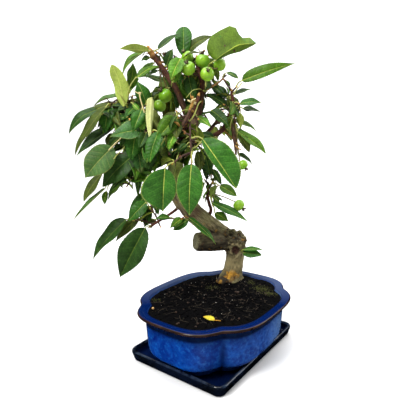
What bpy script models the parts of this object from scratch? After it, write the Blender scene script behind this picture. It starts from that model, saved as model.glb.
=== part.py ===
"""A small apple bonsai with green fruit, in a lobed glazed pot on its drip tray.

The pot's long side runs along X, and the origin is under the middle of the tray.
The plant is laid out in its own frame of millimetres: right, away and up, as someone
sees it from the front corner of the pot, measured from the foot of the trunk.
"""

import math
import random
from collections import namedtuple

import bpy
from mathutils import Matrix, Vector
from mathutils.bvhtree import BVHTree

# Pot and tray, in metres
RIM_LENGTH = 0.205
LONG_LOBE = (RIM_LENGTH / 2, 0.0649)
SHORT_LOBE = (0.0800, 0.0838)
LOBE_SQUARENESS = 3.4
OUTLINE_POINTS = 40
RIM_TOP = 0.0675
RIM_WIDTH = 0.0100
RIM_THICKNESS = 0.0036
BODY_TOP = 0.0612
BODY_BOTTOM = 0.0146
FOOT_INSET = 0.0250
FOOT_WIDTH = 0.0072
POT_FLOOR = 0.0196
SOIL_TOP = 0.0655
TRAY_SIZE = (0.1778, 0.1342)
TRAY_FLARE = 0.0030
TRAY_HEIGHT = 0.0136
TRAY_FLOOR = 0.0040
TRAY_WALL = 0.0045
TRAY_CORNER = 0.0115
GAP = 0.0003
SHARP_ANGLE = 30

# Plant frame: where the foot stands, and the turn of the side that is seen
FOOT = (0.067, 0.022)
FRONT_TURN = math.radians(-54.68)
EYE = Vector((-31, -523, 255))
MM = 0.001
GROUND = SOIL_TOP / MM

# Plant, in millimetres
TRUNK_SIDES = 12
BOUGH_SIDES = 8
TWIG_SIDES = 3
TWIG_RADIUS = 1.9
TWIG_TIP_RADIUS = 1.6
STALK_RADIUS = 0.6
LEAF_THICKNESS = 1.1
LEAF_FOLD = math.radians(16)
LEAF_BOW = 0.05
# Half widths of a blade along its length, as shares of the length and of the full width
LEAD_OUTLINE = ((0, 0.08), (0.26, 0.45), (0.66, 0.40))
LEAF_OUTLINE = ((0.40, 0.50),)
STALK_REACH = 16
CLEAR = 0.45
TWIG_STEP = 4
LEAF_TRIES = 9
ROOT_SHIFT = 0.35
ROSETTE = 7
ROSETTE_STEP = 2.0
SIDE_STEP = 5.5
BARE_FOOT = 8
SUNK = 1.5
FRUIT_ROWS = 5
FRUIT_SIDES = 8
CROWDED = 8
DEPTHS = (0, -4, 4, -8, 8, -13, 13)
# Ways a twig may bow, as shares of its length: right, away and up
BENDS = ((0, 0, 0.08), (0, 0, -0.14), (0, 0.2, 0.1), (0, -0.2, 0.1), (0.2, 0, 0), (-0.2, 0, 0))
GOLDEN_TURN = math.radians(137.5)
SEED = 37

# Trunk line: right, away, up above the soil, radius
TRUNK_LINE = [
    (3, 0, 0, 15.5),
    (4, 0, 7, 13.8),
    (7, 0, 24, 12.3),
    (7, 0, 42, 13.2),
    (-1, 1, 56, 14.0),
    (-15, 3, 65, 13.6),
    (-35, 4, 81, 13.6),
    (-57, 4, 101, 13.2),
    (-73, 3, 122, 11.9),
    (-78, 1, 145, 10.2),
    (-74, 0, 164, 9.2),
    (-64, 0, 181, 8.0),
]
BURR = ((8, -2, 55), (17, 15, 14.5))
STUB_LINE = [(4, 2, 54, 11.6), (-20, -8, 56, 12.2), (-46, -18, 59, 12.6)]
FLARE_HEIGHT = 16
FLARE_LOBES = 3

Limb = namedtuple("Limb", "bough bough_line mass stem_line radii parent")
LIMBS = [
    Limb("bough_leader", [(-64, 0, 246), (-54, 3, 272), (-44, 6, 300), (-40, 4, 320)],
         "crown_top", [(-39, 2, 336), (-44, 1, 352), (-46, 6, 368)], (6.4, 4.4, 2.4), "trunk"),
    Limb("bough_top_left", [(-54, 3, 274), (-61, 3, 298), (-70, 1, 320), (-79, 0, 336)],
         "crown_top_left", [(-90, 0, 352), (-104, 0, 372), (-108, 0, 378)], (5.0, 4.4, 3.4),
         "bough_leader"),
    Limb("bough_left", [(-77, 1, 222), (-94, 4, 240), (-109, 4, 256), (-118, 2, 276)],
         "crown_left", [(-127, 0, 297), (-138, 0, 312), (-146, 0, 321)], (5.0, 3.8, 2.4), "trunk"),
    Limb("bough_low_left", [(-79, 2, 204), (-100, 8, 206), (-122, 8, 206)],
         "crown_low_left", [(-140, 6, 210), (-157, 3, 220)], (3.8, 3.0, 2.3), "trunk"),
    Limb("bough_front_left", [(-77, 0, 232), (-92, -16, 245), (-106, -27, 258)],
         "crown_front_left", [(-118, -31, 270), (-128, -32, 284)], (4.2, 3.4, 2.4), "trunk"),
    Limb("bough_front", [(-68, 0, 244), (-69, -16, 251), (-66, -27, 262)],
         "crown_front", [(-58, -33, 282), (-47, -35, 300), (-43, -35, 314)], (4.6, 3.8, 2.4), "trunk"),
    Limb("bough_right", [(-60, 2, 246), (-44, 5, 258), (-26, 6, 265), (-11, 4, 275)],
         "crown_right", [(-3, 2, 291), (2, 0, 308), (0, 0, 324)], (5.4, 4.0, 2.4), "trunk"),
    Limb("bough_right_low", [(-34, 4, 150), (-27, -2, 164), (-30, -4, 176)],
         "crown_right_low", [(-32, -7, 191), (-26, -9, 203)], (3.2, 2.6, 2.1), "trunk"),
    Limb("bough_drop", [(-64, 4, 174), (-74, -3, 167), (-84, -6, 160)],
         "crown_drop", [(-97, -8, 152), (-110, -10, 144)], (2.8, 2.4, 2.1), "trunk"),
    Limb("bough_back", [(-45, 5, 296), (-49, 24, 310), (-53, 42, 322)],
         "crown_back", [(-57, 56, 336), (-60, 66, 352)], (4.4, 3.4, 2.4), "bough_leader"),
    Limb("bough_back_left", [(-77, 2, 226), (-86, 22, 238), (-97, 44, 252)],
         "crown_back_left", [(-108, 60, 268), (-118, 70, 288)], (4.6, 3.4, 2.4), "trunk"),
    Limb("bough_back_right", [(-62, 2, 244), (-50, 22, 255), (-36, 42, 268)],
         "crown_back_right", [(-22, 56, 284), (-10, 64, 302)], (4.6, 3.4, 2.4), "trunk"),
]

# Space of each mass: centre and half size (right, away, up), twigs, leaf length
Space = namedtuple("Space", "centre half twigs leaf")
SPACES = {
    "crown_top": Space((-46, 4, 340), (40, 34, 40), 4, 40),
    "crown_top_left": Space((-104, 4, 362), (28, 20, 22), 2, 30),
    "crown_left": Space((-142, 2, 290), (48, 38, 42), 4, 48),
    "crown_low_left": Space((-128, 0, 218), (42, 36, 34), 4, 46),
    "crown_front_left": Space((-108, -36, 256), (40, 32, 44), 5, 44),
    "crown_front": Space((-64, -36, 258), (44, 34, 52), 5, 46),
    "crown_right": Space((-8, 4, 288), (28, 36, 44), 4, 36),
    "crown_right_low": Space((-24, -6, 192), (24, 20, 28), 2, 28),
    "crown_drop": Space((-112, -6, 160), (26, 22, 24), 1, 34),
    "crown_back": Space((-72, 58, 322), (48, 42, 42), 6, 46),
    "crown_back_left": Space((-112, 62, 258), (48, 44, 42), 6, 48),
    "crown_back_right": Space((-34, 58, 266), (44, 44, 44), 6, 44),
}

# Sky that shows through the crown from the front: right, up, half width, half height
SKY = [
    (-104, 334, 16, 10), (-30, 281, 14, 12), (-21, 309, 11, 6), (-143, 182, 24, 13),
    (-86, 170, 10, 9), (-8, 252, 10, 9), (-6, 206, 10, 8), (-114, 362, 10, 6), (5, 338, 12, 12),
]

# Leaves that make the outline and the front: the blade's foot (right, away, up), then the
# heading seen from the front in degrees, how far the tip lies behind the foot, the blade's
# length and width, its roll, from 0 facing the front to 180 showing its back, and its bow
Lead = namedtuple("Lead", "foot aim lean length width roll bow", defaults=(LEAF_BOW,))
LEADS = {
    "crown_top": [
        Lead((-32, -22, 377), 1, -8, 60, 46, -150),
        Lead((-69, 8, 371), 80, 22, 46, 30, -40),
        Lead((-55, 15, 380), 29, -10, 31, 16, -60),
        Lead((-76, -18, 333), 64, -7, 31, 16, -20),
        Lead((-65, -20, 362), -116, -6, 29, 15, 20),
    ],
    "crown_top_left": [
        Lead((-114, -3, 376), 178, -6, 32, 16, 110),
        Lead((-113, 5, 370), -147, -4, 34, 16, 60),
        Lead((-96, 8, 380), 38, 7, 34, 14, -70),
        Lead((-89, 10, 338), 166, 5, 36, 16, 70),
        Lead((-103, 12, 362), -150, 8, 31, 15, 50),
        Lead((-85, 0, 356), 68, -4, 23, 16, -30),
    ],
    "crown_left": [
        Lead((-139, -18, 311), 108, -4, 44, 22, 165),
        Lead((-136, 2, 328), 80, 8, 36, 18, 50),
        Lead((-151, 8, 319), -163, 4, 40, 20, 65),
        Lead((-171, 0, 304), -149, -10, 55, 24, 40),
        Lead((-164, -12, 303), -122, -13, 75, 26, 50),
        Lead((-160, 5, 278), -145, -5, 58, 24, 50),
        Lead((-139, 15, 322), 60, 10, 29, 18, -50),
        Lead((-113, 6, 306), 113, 4, 37, 22, 30),
    ],
    "crown_front_left": [
        Lead((-106, -38, 273), -172, -7, 48, 27, 35),
        Lead((-99, -45, 311), -89, -10, 55, 24, 118),
        Lead((-91, -50, 270), -109, -12, 40, 20, 25),
        Lead((-103, -46, 259), -95, -4, 27, 16, 10),
        Lead((-90, -22, 248), -116, -8, 32, 17, 10),
    ],
    "crown_low_left": [
        Lead((-153, -28, 252), -132, -17, 53, 36, 10),
        Lead((-126, -18, 243), -138, -10, 62, 32, 20),
        Lead((-174, -8, 216), -124, -7, 46, 20, 45),
        Lead((-171, -15, 194), -134, -13, 56, 18, 75),
        Lead((-151, 2, 200), -133, 3, 31, 16, 60),
        Lead((-122, -4, 222), -97, -4, 40, 12, 30),
    ],
    "crown_front": [
        Lead((-51, -60, 232), -95, -6, 63, 33, 5),
        Lead((-83, -62, 227), -97, 4, 55, 43, -10),
        Lead((-38, -48, 262), -50, -12, 75, 43, -12),
        Lead((-40, -34, 256), 128, 8, 36, 22, 175),
        Lead((-45, -25, 290), -38, -10, 23, 12, -40),
        Lead((-94, -22, 277), 35, -8, 35, 18, -45),
        Lead((-69, -48, 273), -113, -7, 28, 15, 35),
        Lead((-38, -8, 248), -72, -6, 39, 18, -20),
    ],
    "crown_right": [
        Lead((13, -6, 335), 16, -8, 71, 31, -55, 0.08),
        Lead((5, 4, 321), 17, 4, 24, 12, -55),
        Lead((11, -4, 308), 4, -6, 28, 15, -45),
        Lead((16, 6, 303), -10, -4, 25, 13, -50),
        Lead((-32, -8, 295), -40, -14, 40, 20, -25),
        Lead((8, 0, 272), -37, -8, 49, 20, -50),
        Lead((10, 6, 242), -33, -4, 25, 12, -55),
        Lead((7, 6, 285), -19, 8, 32, 14, -60),
        Lead((-6, 8, 317), 140, 6, 30, 17, 30),
        Lead((-6, 4, 310), 166, 6, 20, 10, 40),
    ],
    "crown_right_low": [
        Lead((-26, -14, 174), -28, -10, 55, 18, -60),
        Lead((-15, 0, 196), -31, -6, 26, 15, -35),
        Lead((-22, -18, 164), -30, -6, 22, 14, -40),
    ],
    "knob_leaves": [
        Lead((31, -8, 111), -2, -5, 26, 12, -55),
        Lead((31, -9, 107), -8, -6, 26, 14, -20),
    ],
    "crown_drop": [
        Lead((-119, -14, 142), -116, -10, 76, 36, 10),
        Lead((-115, -14, 178), -134, -6, 35, 20, 15),
        Lead((-57, -14, 152), -143, 4, 25, 14, 30),
        Lead((-58, -20, 158), -41, -10, 52, 18, -70),
        Lead((-109, 0, 171), -110, -4, 31, 18, 40),
        Lead((-115, -4, 189), -123, -4, 46, 20, 20),
        Lead((-145, 2, 153), -131, -8, 76, 24, 50),
        Lead((-130, 8, 156), -133, 2, 53, 20, 75),
    ],
}

# Fruit: centre (right, away, up) and radius
FRUIT = {
    "crown_top": [(-56, -18, 350, 9.0), (-38, -9, 361, 9.2), (-32, -24, 342, 8.8),
                  (-16, -5, 357, 8.2), (-58, 4, 368, 8.2)],
    "crown_top_left": [(-88, 2, 319, 9.2), (-97, 14, 307, 8.6)],
    "crown_right": [(16, -6, 228, 6.8)],
    "crown_right_low": [(11, -8, 173, 8.0)],
}

KNOB_STEM = [(20, -6, 110), (27, -8, 110)]


def clear_scene():
    for obj in list(bpy.data.objects):
        bpy.data.objects.remove(obj, do_unlink=True)


def make_material(name, colour, roughness):
    material = bpy.data.materials.new(name)
    material.use_nodes = True
    shader = material.node_tree.nodes["Principled BSDF"]
    shader.inputs["Base Color"].default_value = (*colour, 1)
    shader.inputs["Roughness"].default_value = roughness
    shader.inputs["Metallic"].default_value = 0
    material.diffuse_color = (*colour, 1)
    return material


def add_object(name, shape, material, unit=1.0, parent=None):
    """An object from (points, faces), whose points are in metres or in the given unit."""
    points, faces = shape
    mesh = bpy.data.meshes.new(name)
    mesh.from_pydata([p * unit for p in points], [], faces)
    mesh.materials.append(material)
    mesh.shade_smooth()
    mesh.set_sharp_from_angle(angle=math.radians(SHARP_ANGLE))
    obj = bpy.data.objects.new(name, mesh)
    obj.parent = parent
    bpy.context.scene.collection.objects.link(obj)
    return obj


def add_plant_frame():
    """The empty that carries the plant: X is right, Y is away and Z is up from its foot."""
    empty = bpy.data.objects.new("plant_frame", None)
    empty.location = (*FOOT, 0)
    empty.rotation_euler = (0, 0, FRONT_TURN)
    bpy.context.scene.collection.objects.link(empty)
    return empty


def loft(rings):
    """A closed body through rings of the same number of points, anticlockwise from above."""
    count = len(rings[0])
    points = [p for ring in rings for p in ring]
    faces = [tuple(reversed(range(count)))]
    for k in range(len(rings) - 1):
        low, high = k * count, (k + 1) * count
        for i in range(count):
            j = (i + 1) % count
            faces.append((low + i, low + j, high + j, high + i))
    faces.append(tuple(range((len(rings) - 1) * count, len(rings) * count)))
    return points, faces


def lobed_ring(inset, height):
    """The pot's outline, two squarish ovals laid across each other, drawn in by an inset."""
    ring = []
    for i in range(OUTLINE_POINTS):
        angle = 2 * math.pi * (i + 0.5) / OUTLINE_POINTS
        across, along = abs(math.cos(angle)), abs(math.sin(angle))
        reach = max(
            ((across / (a - inset)) ** LOBE_SQUARENESS + (along / (b - inset)) ** LOBE_SQUARENESS)
            ** (-1 / LOBE_SQUARENESS)
            for a, b in (LONG_LOBE, SHORT_LOBE)
        )
        ring.append(Vector((reach * math.cos(angle), reach * math.sin(angle), height)))
    return ring


def pot_wall(height):
    """Inset of the pot's outer wall at a height, which draws in towards the foot."""
    drop = (BODY_TOP - height) / (BODY_TOP - BODY_BOTTOM)
    return 0.0078 + 0.0028 * drop + 0.0066 * drop**12


def pot_inside(height):
    return pot_wall(height) + 0.0046


def add_pot(material):
    foot = TRAY_FLOOR + GAP
    recess = 0.0042
    walls = [BODY_BOTTOM + (BODY_TOP - BODY_BOTTOM) * f for f in (0.03, 0.12, 0.3, 0.6, 1.0)]
    profile = [(FOOT_INSET + FOOT_WIDTH, foot + recess), (FOOT_INSET + FOOT_WIDTH, foot)]
    profile += [(FOOT_INSET, foot), (FOOT_INSET - 0.001, BODY_BOTTOM - 0.0004)]
    profile += [(pot_wall(h), h) for h in walls]
    rim_under = RIM_TOP - RIM_THICKNESS
    profile += [(0.0012, rim_under), (0, rim_under + 0.0012), (0, RIM_TOP - 0.0012)]
    profile += [(0.0012, RIM_TOP), (RIM_WIDTH - 0.001, RIM_TOP), (RIM_WIDTH, RIM_TOP - 0.001)]
    profile += [(pot_inside(h), h) for h in (0.058, 0.035, 0.0225)]
    profile += [(pot_inside(0.0225) + 0.004, POT_FLOOR)]
    return add_object("pot", loft([lobed_ring(i, h) for i, h in profile]), material)


def add_soil(material):
    profile = [(pot_inside(0.0225) + 0.0045, POT_FLOOR + GAP)]
    profile += [(pot_inside(h) + GAP + 0.0001, h + GAP) for h in (0.0225, 0.035, 0.058)]
    profile += [(RIM_WIDTH + 0.0006, SOIL_TOP)]
    return add_object("soil", loft([lobed_ring(i, h) for i, h in profile]), material)


def rounded_ring(inset, height):
    """The tray's outline: a rectangle with round corners."""
    half_x, half_y = TRAY_SIZE[0] / 2 - inset, TRAY_SIZE[1] / 2 - inset
    radius = max(TRAY_CORNER - inset, 0.003)
    steps = 5
    ring = []
    for turn, (sx, sy) in enumerate(((1, 1), (-1, 1), (-1, -1), (1, -1))):
        for k in range(steps):
            angle = math.pi / 2 * (turn + k / (steps - 1))
            x = sx * (half_x - radius) + radius * math.cos(angle)
            y = sy * (half_y - radius) + radius * math.sin(angle)
            ring.append(Vector((x, y, height)))
    return ring


def add_tray(material):
    wall, top, low = TRAY_WALL, TRAY_HEIGHT, TRAY_WALL + TRAY_FLARE
    profile = [(TRAY_FLARE + 0.0014, 0), (TRAY_FLARE + 0.0002, 0.0012), (0.0004, top - 0.0042)]
    profile += [(0, top - 0.0022), (0.0008, top - 0.0005), (0.0024, top), (wall - 0.0008, top - 0.0008)]
    profile += [(wall, top - 0.0026), (low - 0.0006, TRAY_FLOOR + 0.0010), (low, TRAY_FLOOR)]
    return add_object("drip_tray", loft([rounded_ring(i, h) for i, h in profile]), material)


def smooth_line(points, steps):
    """A smooth line through its points, each a Vector of three places or with a radius too."""
    points = [Vector(p) for p in points]
    line = []
    for k in range(len(points) - 1):
        a, b = points[k], points[k + 1]
        before = points[k - 1] if k else a * 2 - b
        after = points[k + 2] if k + 2 < len(points) else b * 2 - a
        for s in range(steps):
            t = s / steps
            line.append(
                0.5 * ((2 * a) + (b - before) * t + (2 * before - 5 * a + 4 * b - after) * t**2
                       + (3 * a - before - 3 * b + after) * t**3)
            )
    return line + [points[-1]]


def directions(line):
    last = len(line) - 1
    return [(line[min(i + 1, last)] - line[max(i - 1, 0)]).normalized() for i in range(last + 1)]


def tube(line, radii, sides, shape=None, ends=(None, None)):
    """A closed limb along a line. The shape gives a factor on the radius by angle and place,
    and the ends give the facing of the first and the last cut."""
    ways = directions(line)
    ways[0] = ends[0] or ways[0]
    ways[-1] = ends[1] or ways[-1]
    side = ways[0].orthogonal().normalized()
    rings = []
    for k, (centre, way) in enumerate(zip(line, ways)):
        side = (side - way * side.dot(way)).normalized()
        up = way.cross(side)
        ring = []
        for i in range(sides):
            angle = 2 * math.pi * i / sides
            reach = radii[k] * (shape(angle, centre) if shape else 1)
            ring.append(centre + side * reach * math.cos(angle) + up * reach * math.sin(angle))
        rings.append(ring)
    return loft(rings)


def bough_tube(line, radii, way, extra=0.0):
    """The tube of a bough that ends square to a way, wider and longer by an extra."""
    line = line[:-1] + [line[-1] + way * extra]
    return tube(line, [r + extra for r in radii], BOUGH_SIDES, None, (None, way))


def tapered(line, first, last):
    """Radii that fall evenly along a line."""
    return [first + (last - first) * k / (len(line) - 1) for k in range(len(line))]


def trunk_shapes(extra=0.0):
    """The trunk, the burr with its old cut, and the cut stub, each grown by an extra."""
    line = smooth_line([(r, a, z + GROUND + GAP / MM, radius) for r, a, z, radius in TRUNK_LINE], 2)

    def flare(angle, centre):
        low = max(0.0, 1 - (centre.z - GROUND) / FLARE_HEIGHT)
        return 1 + low**2 * (0.14 + 0.16 * math.cos(FLARE_LOBES * angle + 0.6))

    places = [p.xyz for p in line]
    places[-1] += (places[-1] - places[-2]).normalized() * extra
    trunk = tube(places, [p.w + extra for p in line], TRUNK_SIDES, flare)
    if not extra:
        for point in trunk[0][:TRUNK_SIDES]:
            point.z = GROUND + GAP / MM
    stub_line = [Vector(p) for p in STUB_LINE]
    stub_points = [Vector((p.x, p.y, p.z + GROUND)) for p in stub_line]
    stub = tube(stub_points, [p.w + extra for p in stub_line], TRUNK_SIDES)
    return [trunk, stub, burr_shape(extra)]


def burr_shape(extra):
    """A lumpy ball on the bend of the trunk."""
    (right, away, up), half = BURR
    centre = Vector((right, away, up + GROUND))
    rings = []
    rows, sides = 6, 10
    for row in range(rows):
        lift = math.pi * (row + 0.5) / rows - math.pi / 2
        ring = []
        for i in range(sides):
            angle = 2 * math.pi * i / sides
            lump = 1 + 0.07 * math.sin(3 * angle + 2 * row) + 0.05 * math.cos(5 * angle - row)
            out = Vector((math.cos(angle) * math.cos(lift), math.sin(angle) * math.cos(lift),
                          math.sin(lift)))
            ring.append(centre + Vector([o * (h + extra) * lump for o, h in zip(out, half)]))
        rings.append(ring)
    return loft(rings)


Solid = namedtuple("Solid", "tree centre radius owner")


def solid_of(shape, owner):
    points, faces = shape
    centre = sum(points, Vector()) / len(points)
    radius = max((p - centre).length for p in points)
    return Solid(BVHTree.FromPolygons(points, faces), centre, radius, owner)


def touches(solid, others, skip=None):
    for other in others:
        if other.owner == skip:
            continue
        if (other.centre - solid.centre).length > other.radius + solid.radius:
            continue
        if other.tree.overlap(solid.tree):
            return True
    return False


def seen_from_front(point):
    """Where a point shows on the plane of the trunk, for an eye in front of the plant."""
    scale = -EYE.y / (point.y - EYE.y)
    return EYE.x + (point.x - EYE.x) * scale, EYE.z + (point.z - EYE.z) * scale


def in_space(point, space):
    right, up = seen_from_front(point)
    offset = (right - space.centre[0], point.y - space.centre[1], up - space.centre[2])
    return sum((o / h) ** 2 for o, h in zip(offset, space.half)) <= 1


def in_sky(point):
    right, up = seen_from_front(point)
    return any(((right - x) / w) ** 2 + ((up - z) / h) ** 2 < 1 for x, z, w, h in SKY)


Leaf = namedtuple("Leaf", "root foot tip normal width bow fine")


def blade_rings(leaf, outline, pad=0.0):
    """Cross sections of the blade, folded up along its rib and bowed from foot to tip."""
    along = leaf.tip - leaf.foot
    length = along.length
    way = along / length
    side = leaf.normal.cross(way).normalized()
    thick = LEAF_THICKNESS / 2 + pad
    rings = []
    for place, breadth in outline:
        middle = leaf.foot + along * place + leaf.normal * (leaf.bow * length * 4 * place * (1 - place))
        half = leaf.width * breadth + pad
        out = side * half * math.cos(LEAF_FOLD)
        lift = leaf.normal * half * math.sin(LEAF_FOLD)
        rings.append([middle - leaf.normal * thick, middle + out + lift,
                      middle + leaf.normal * thick, middle - out + lift])
    return rings


def pointed(rings, tip):
    """A body through four-point rings that closes in one point."""
    points, faces = loft(rings)
    faces.pop()
    last = len(points) - 4
    points.append(tip)
    for i in range(4):
        faces.append((last + i, last + (i + 1) % 4, last + 4))
    return points, faces


def blade(leaf, pad=0.0):
    return pointed(blade_rings(leaf, LEAD_OUTLINE, pad), leaf.tip)


def stalk_ring(leaf, centre, radius):
    way = (leaf.foot - leaf.root).normalized()
    side = leaf.normal.cross(way)
    if side.length < 0.1:
        side = way.orthogonal()
    side.normalize()
    over = way.cross(side)
    return [centre - over * radius, centre + side * radius, centre + over * radius,
            centre - side * radius]


def whole_leaf(leaf):
    """Stalk and blade as one closed body, its root inside the twig."""
    root = stalk_ring(leaf, leaf.root, STALK_RADIUS)
    outline = LEAD_OUTLINE if leaf.fine else LEAF_OUTLINE
    return pointed([root] + blade_rings(leaf, outline), leaf.tip)


def stalk(leaf, pad):
    """The stalk by itself, without the end that is sunk in the twig."""
    way = leaf.foot - leaf.root
    near = leaf.root + way * min(0.4, SUNK / max(way.length, 1))
    return loft([stalk_ring(leaf, near, STALK_RADIUS + pad),
                 stalk_ring(leaf, leaf.foot, STALK_RADIUS + pad)])


def slid(point, depth):
    """The point moved away from the eye in front, so that it still shows in the same place."""
    return EYE + (point - EYE) * ((point.y + depth - EYE.y) / (point.y - EYE.y))


def lead_leaf(lead, depth):
    """A leaf set by its heading as it shows from the front, moved back by a depth."""
    foot = Vector(lead.foot)
    flat = math.sqrt(lead.length**2 - lead.lean**2)
    aim = math.radians(lead.aim)
    along = Vector((flat * math.cos(aim), lead.lean, flat * math.sin(aim)))
    way = along.normalized()
    front = Vector((0, -1, 0))
    face = (front - way * front.dot(way)).normalized()
    normal = Matrix.Rotation(math.radians(lead.roll), 3, way) @ face
    return Leaf(None, slid(foot, depth), slid(foot + along, depth), normal, lead.width, lead.bow,
                True)


def line_length(line):
    return sum((b - a).length for a, b in zip(line, line[1:]))


def back_from_end(line, distance):
    """The point that lies a distance before a line's end, and the line's direction there."""
    for start, end in zip(reversed(line[:-1]), reversed(line[1:])):
        span = end - start
        if distance <= span.length:
            return end - span.normalized() * distance, span.normalized()
        distance -= span.length
    return None


class Mass:
    """One mass of foliage: a stem, its twigs, leaves and fruit."""

    def __init__(self, name, stem, radii, way):
        self.name = name
        self.space = SPACES.get(name)
        self.lines = [stem]
        self.pieces = [tube(stem, radii, BOUGH_SIDES - 2, None, (way, None))]
        self.solids = [solid_of(self.pieces[0], name)]
        self.leaves = []
        self.roots = []

    def root_near(self, point):
        """The nearest place for a new root: inside a line's ends, and apart from other roots."""
        places = []
        for line in self.lines:
            length = line_length(line)
            back = SUNK
            while back < max(length - BARE_FOOT, SUNK + 0.1):
                places.append(back_from_end(line, min(back, length / 2))[0])
                back += ROSETTE_STEP

        def cost(place):
            crowded = any((place - root).length < ROSETTE_STEP * 0.9 for root in self.roots)
            return (place - point).length + (CROWDED if crowded else 0)

        turn = len(self.roots) * GOLDEN_TURN
        off_centre = Vector((math.cos(turn), math.sin(turn), math.sin(2 * turn))) * ROOT_SHIFT
        return min(places, key=cost) + off_centre

    def add_twig(self, line, first=TWIG_RADIUS, last=TWIG_TIP_RADIUS):
        shape = tube(line, tapered(line, first, last), TWIG_SIDES)
        self.pieces.append(shape)
        self.solids.append(solid_of(shape, self.name))
        self.lines.append(line)

    def add_leaf(self, leaf):
        self.roots.append(leaf.root)
        self.leaves.append(leaf)
        self.pieces.append(whole_leaf(leaf))
        self.solids.append(solid_of(blade(leaf), self.name))
        self.solids.append(solid_of(stalk(leaf, 0), self.name))


def is_clear(shape, mass, limbs, masses):
    """Whether a shape keeps off the limbs and off every other mass."""
    solid = solid_of(shape, mass.name)
    if touches(solid, limbs):
        return False
    return not any(touches(solid, other.solids) for other in masses if other is not mass)


def clear_twig(mass, root, end, limbs, masses):
    """The line of a twig from a root to an end, with the first bow that keeps it clear."""
    length = (end - root).length
    for bend in BENDS:
        line = [root, (root + end) / 2 + Vector(bend) * length, end]
        if is_clear(tube(line, [TWIG_RADIUS + CLEAR] * 3, TWIG_SIDES), mass, limbs, masses):
            return line
    return None


def place_lead(mass, leaf, limbs, masses, apart):
    """Adds the leaf, with a twig towards it where it is far. It says whether there was room."""
    if not is_clear(blade(leaf, CLEAR), mass, limbs, masses):
        return False
    if apart and touches(solid_of(blade(leaf), mass.name), mass.solids):
        return False
    root = mass.root_near(leaf.foot)
    reach = leaf.foot - root
    line = None
    if reach.length > STALK_REACH:
        end = leaf.foot - reach.normalized() * (STALK_REACH * 0.7)
        line = clear_twig(mass, root, end, limbs, masses)
        if line is None:
            return False
        root = back_from_end(line, SUNK)[0]
    leaf = leaf._replace(root=root)
    if not is_clear(stalk(leaf, CLEAR), mass, limbs, masses):
        return False
    if line:
        mass.roots.append(line[0])
        mass.add_twig(line)
    mass.add_leaf(leaf)
    return True


def grow_leads(mass, leads, limbs, masses):
    """The leaves placed by hand, each moved back or forward until it has room."""
    for lead in leads:
        for apart in (True, False):
            if any(place_lead(mass, lead_leaf(lead, depth), limbs, masses, apart) for depth in DEPTHS):
                break


def ball(centre, radius):
    rings = []
    for row in range(FRUIT_ROWS):
        lift = math.pi * (row + 0.5) / FRUIT_ROWS - math.pi / 2
        turns = [math.tau * i / FRUIT_SIDES for i in range(FRUIT_SIDES)]
        rings.append([
            centre + radius * Vector((math.cos(a) * math.cos(lift), math.sin(a) * math.cos(lift),
                                      math.sin(lift)))
            for a in turns
        ])
    return loft(rings)


def grow_fruit(mass, fruits, limbs, masses):
    """Round fruit, each hung on a thin stalk from the nearest twig."""
    for right, away, up, radius in fruits:
        for depth in DEPTHS:
            centre = slid(Vector((right, away, up)), depth)
            root = mass.root_near(centre)
            line = clear_twig(mass, root, centre, limbs, masses)
            fruit = ball(centre, radius)
            if line and is_clear(ball(centre, radius + CLEAR), mass, limbs, masses):
                mass.roots.append(root)
                mass.pieces.append(tube(line, tapered(line, 1.3, 1.0), TWIG_SIDES))
                mass.pieces.append(fruit)
                mass.solids.append(solid_of(mass.pieces[-2], mass.name))
                mass.solids.append(solid_of(fruit, mass.name))
                break


def space_centre(space, away):
    """The middle of a mass's space, at a depth."""
    shown = Vector((space.centre[0], 0, space.centre[2]))
    return slid(shown, away)


def try_twig(mass, rng, index, limbs, masses):
    """A twig at the golden angle round the stem, kept if it stays in the mass's space."""
    stem = mass.lines[0]
    share = (index + 0.5) / mass.space.twigs
    root, way = back_from_end(stem, SUNK + (1 - share) * (line_length(stem) - BARE_FOOT - SUNK))
    turn = index * GOLDEN_TURN + rng.uniform(-0.3, 0.3)
    side = Matrix.Rotation(turn, 3, way) @ way.orthogonal().normalized()
    heading = (side + way * rng.uniform(0.1, 0.6)).normalized()
    room = TWIG_STEP
    while in_space(root + heading * room, mass.space):
        room += TWIG_STEP
    length = room * rng.uniform(0.5, 0.75)
    for _ in range(3):
        end = root + heading * length
        line = clear_twig(mass, root, end, limbs, masses)
        if line and in_space(end, mass.space) and not in_sky(end):
            mass.roots.append(root)
            mass.add_twig(line)
            return
        length *= 0.7


def leaf_sites(mass, rng):
    """Places and headings for leaves: some along each twig and a rosette at its end."""
    sites = []
    for line in mass.lines:
        length = line_length(line)
        back = SUNK
        turn = rng.uniform(0, math.tau)
        place = 0
        while back < length - BARE_FOOT or place == 0:
            point, way = back_from_end(line, min(back, 0.5 * length))
            turn += GOLDEN_TURN
            side = Matrix.Rotation(turn, 3, way) @ way.orthogonal().normalized()
            in_rosette = place < ROSETTE
            spread = rng.uniform(0.2, 1.1) if in_rosette else rng.uniform(0.0, 0.4)
            sites.append((point, (side + way * spread).normalized()))
            back += ROSETTE_STEP if in_rosette else SIDE_STEP
            place += 1
    rng.shuffle(sites)
    return sites


def grow_leaf(mass, rng, site, limbs, masses):
    """A leaf at a site. Each try is smaller and turns further in to the middle of the space."""
    root, heading = site
    inward = (space_centre(mass.space, mass.space.centre[1]) - root).normalized()
    for attempt in range(LEAF_TRIES):
        size = mass.space.leaf * rng.uniform(0.8, 1.2) * 0.92**attempt
        turned = (heading + inward * 0.3 * attempt).normalized()
        if try_leaf(mass, rng, (root, turned), size, limbs, masses):
            return


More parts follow.
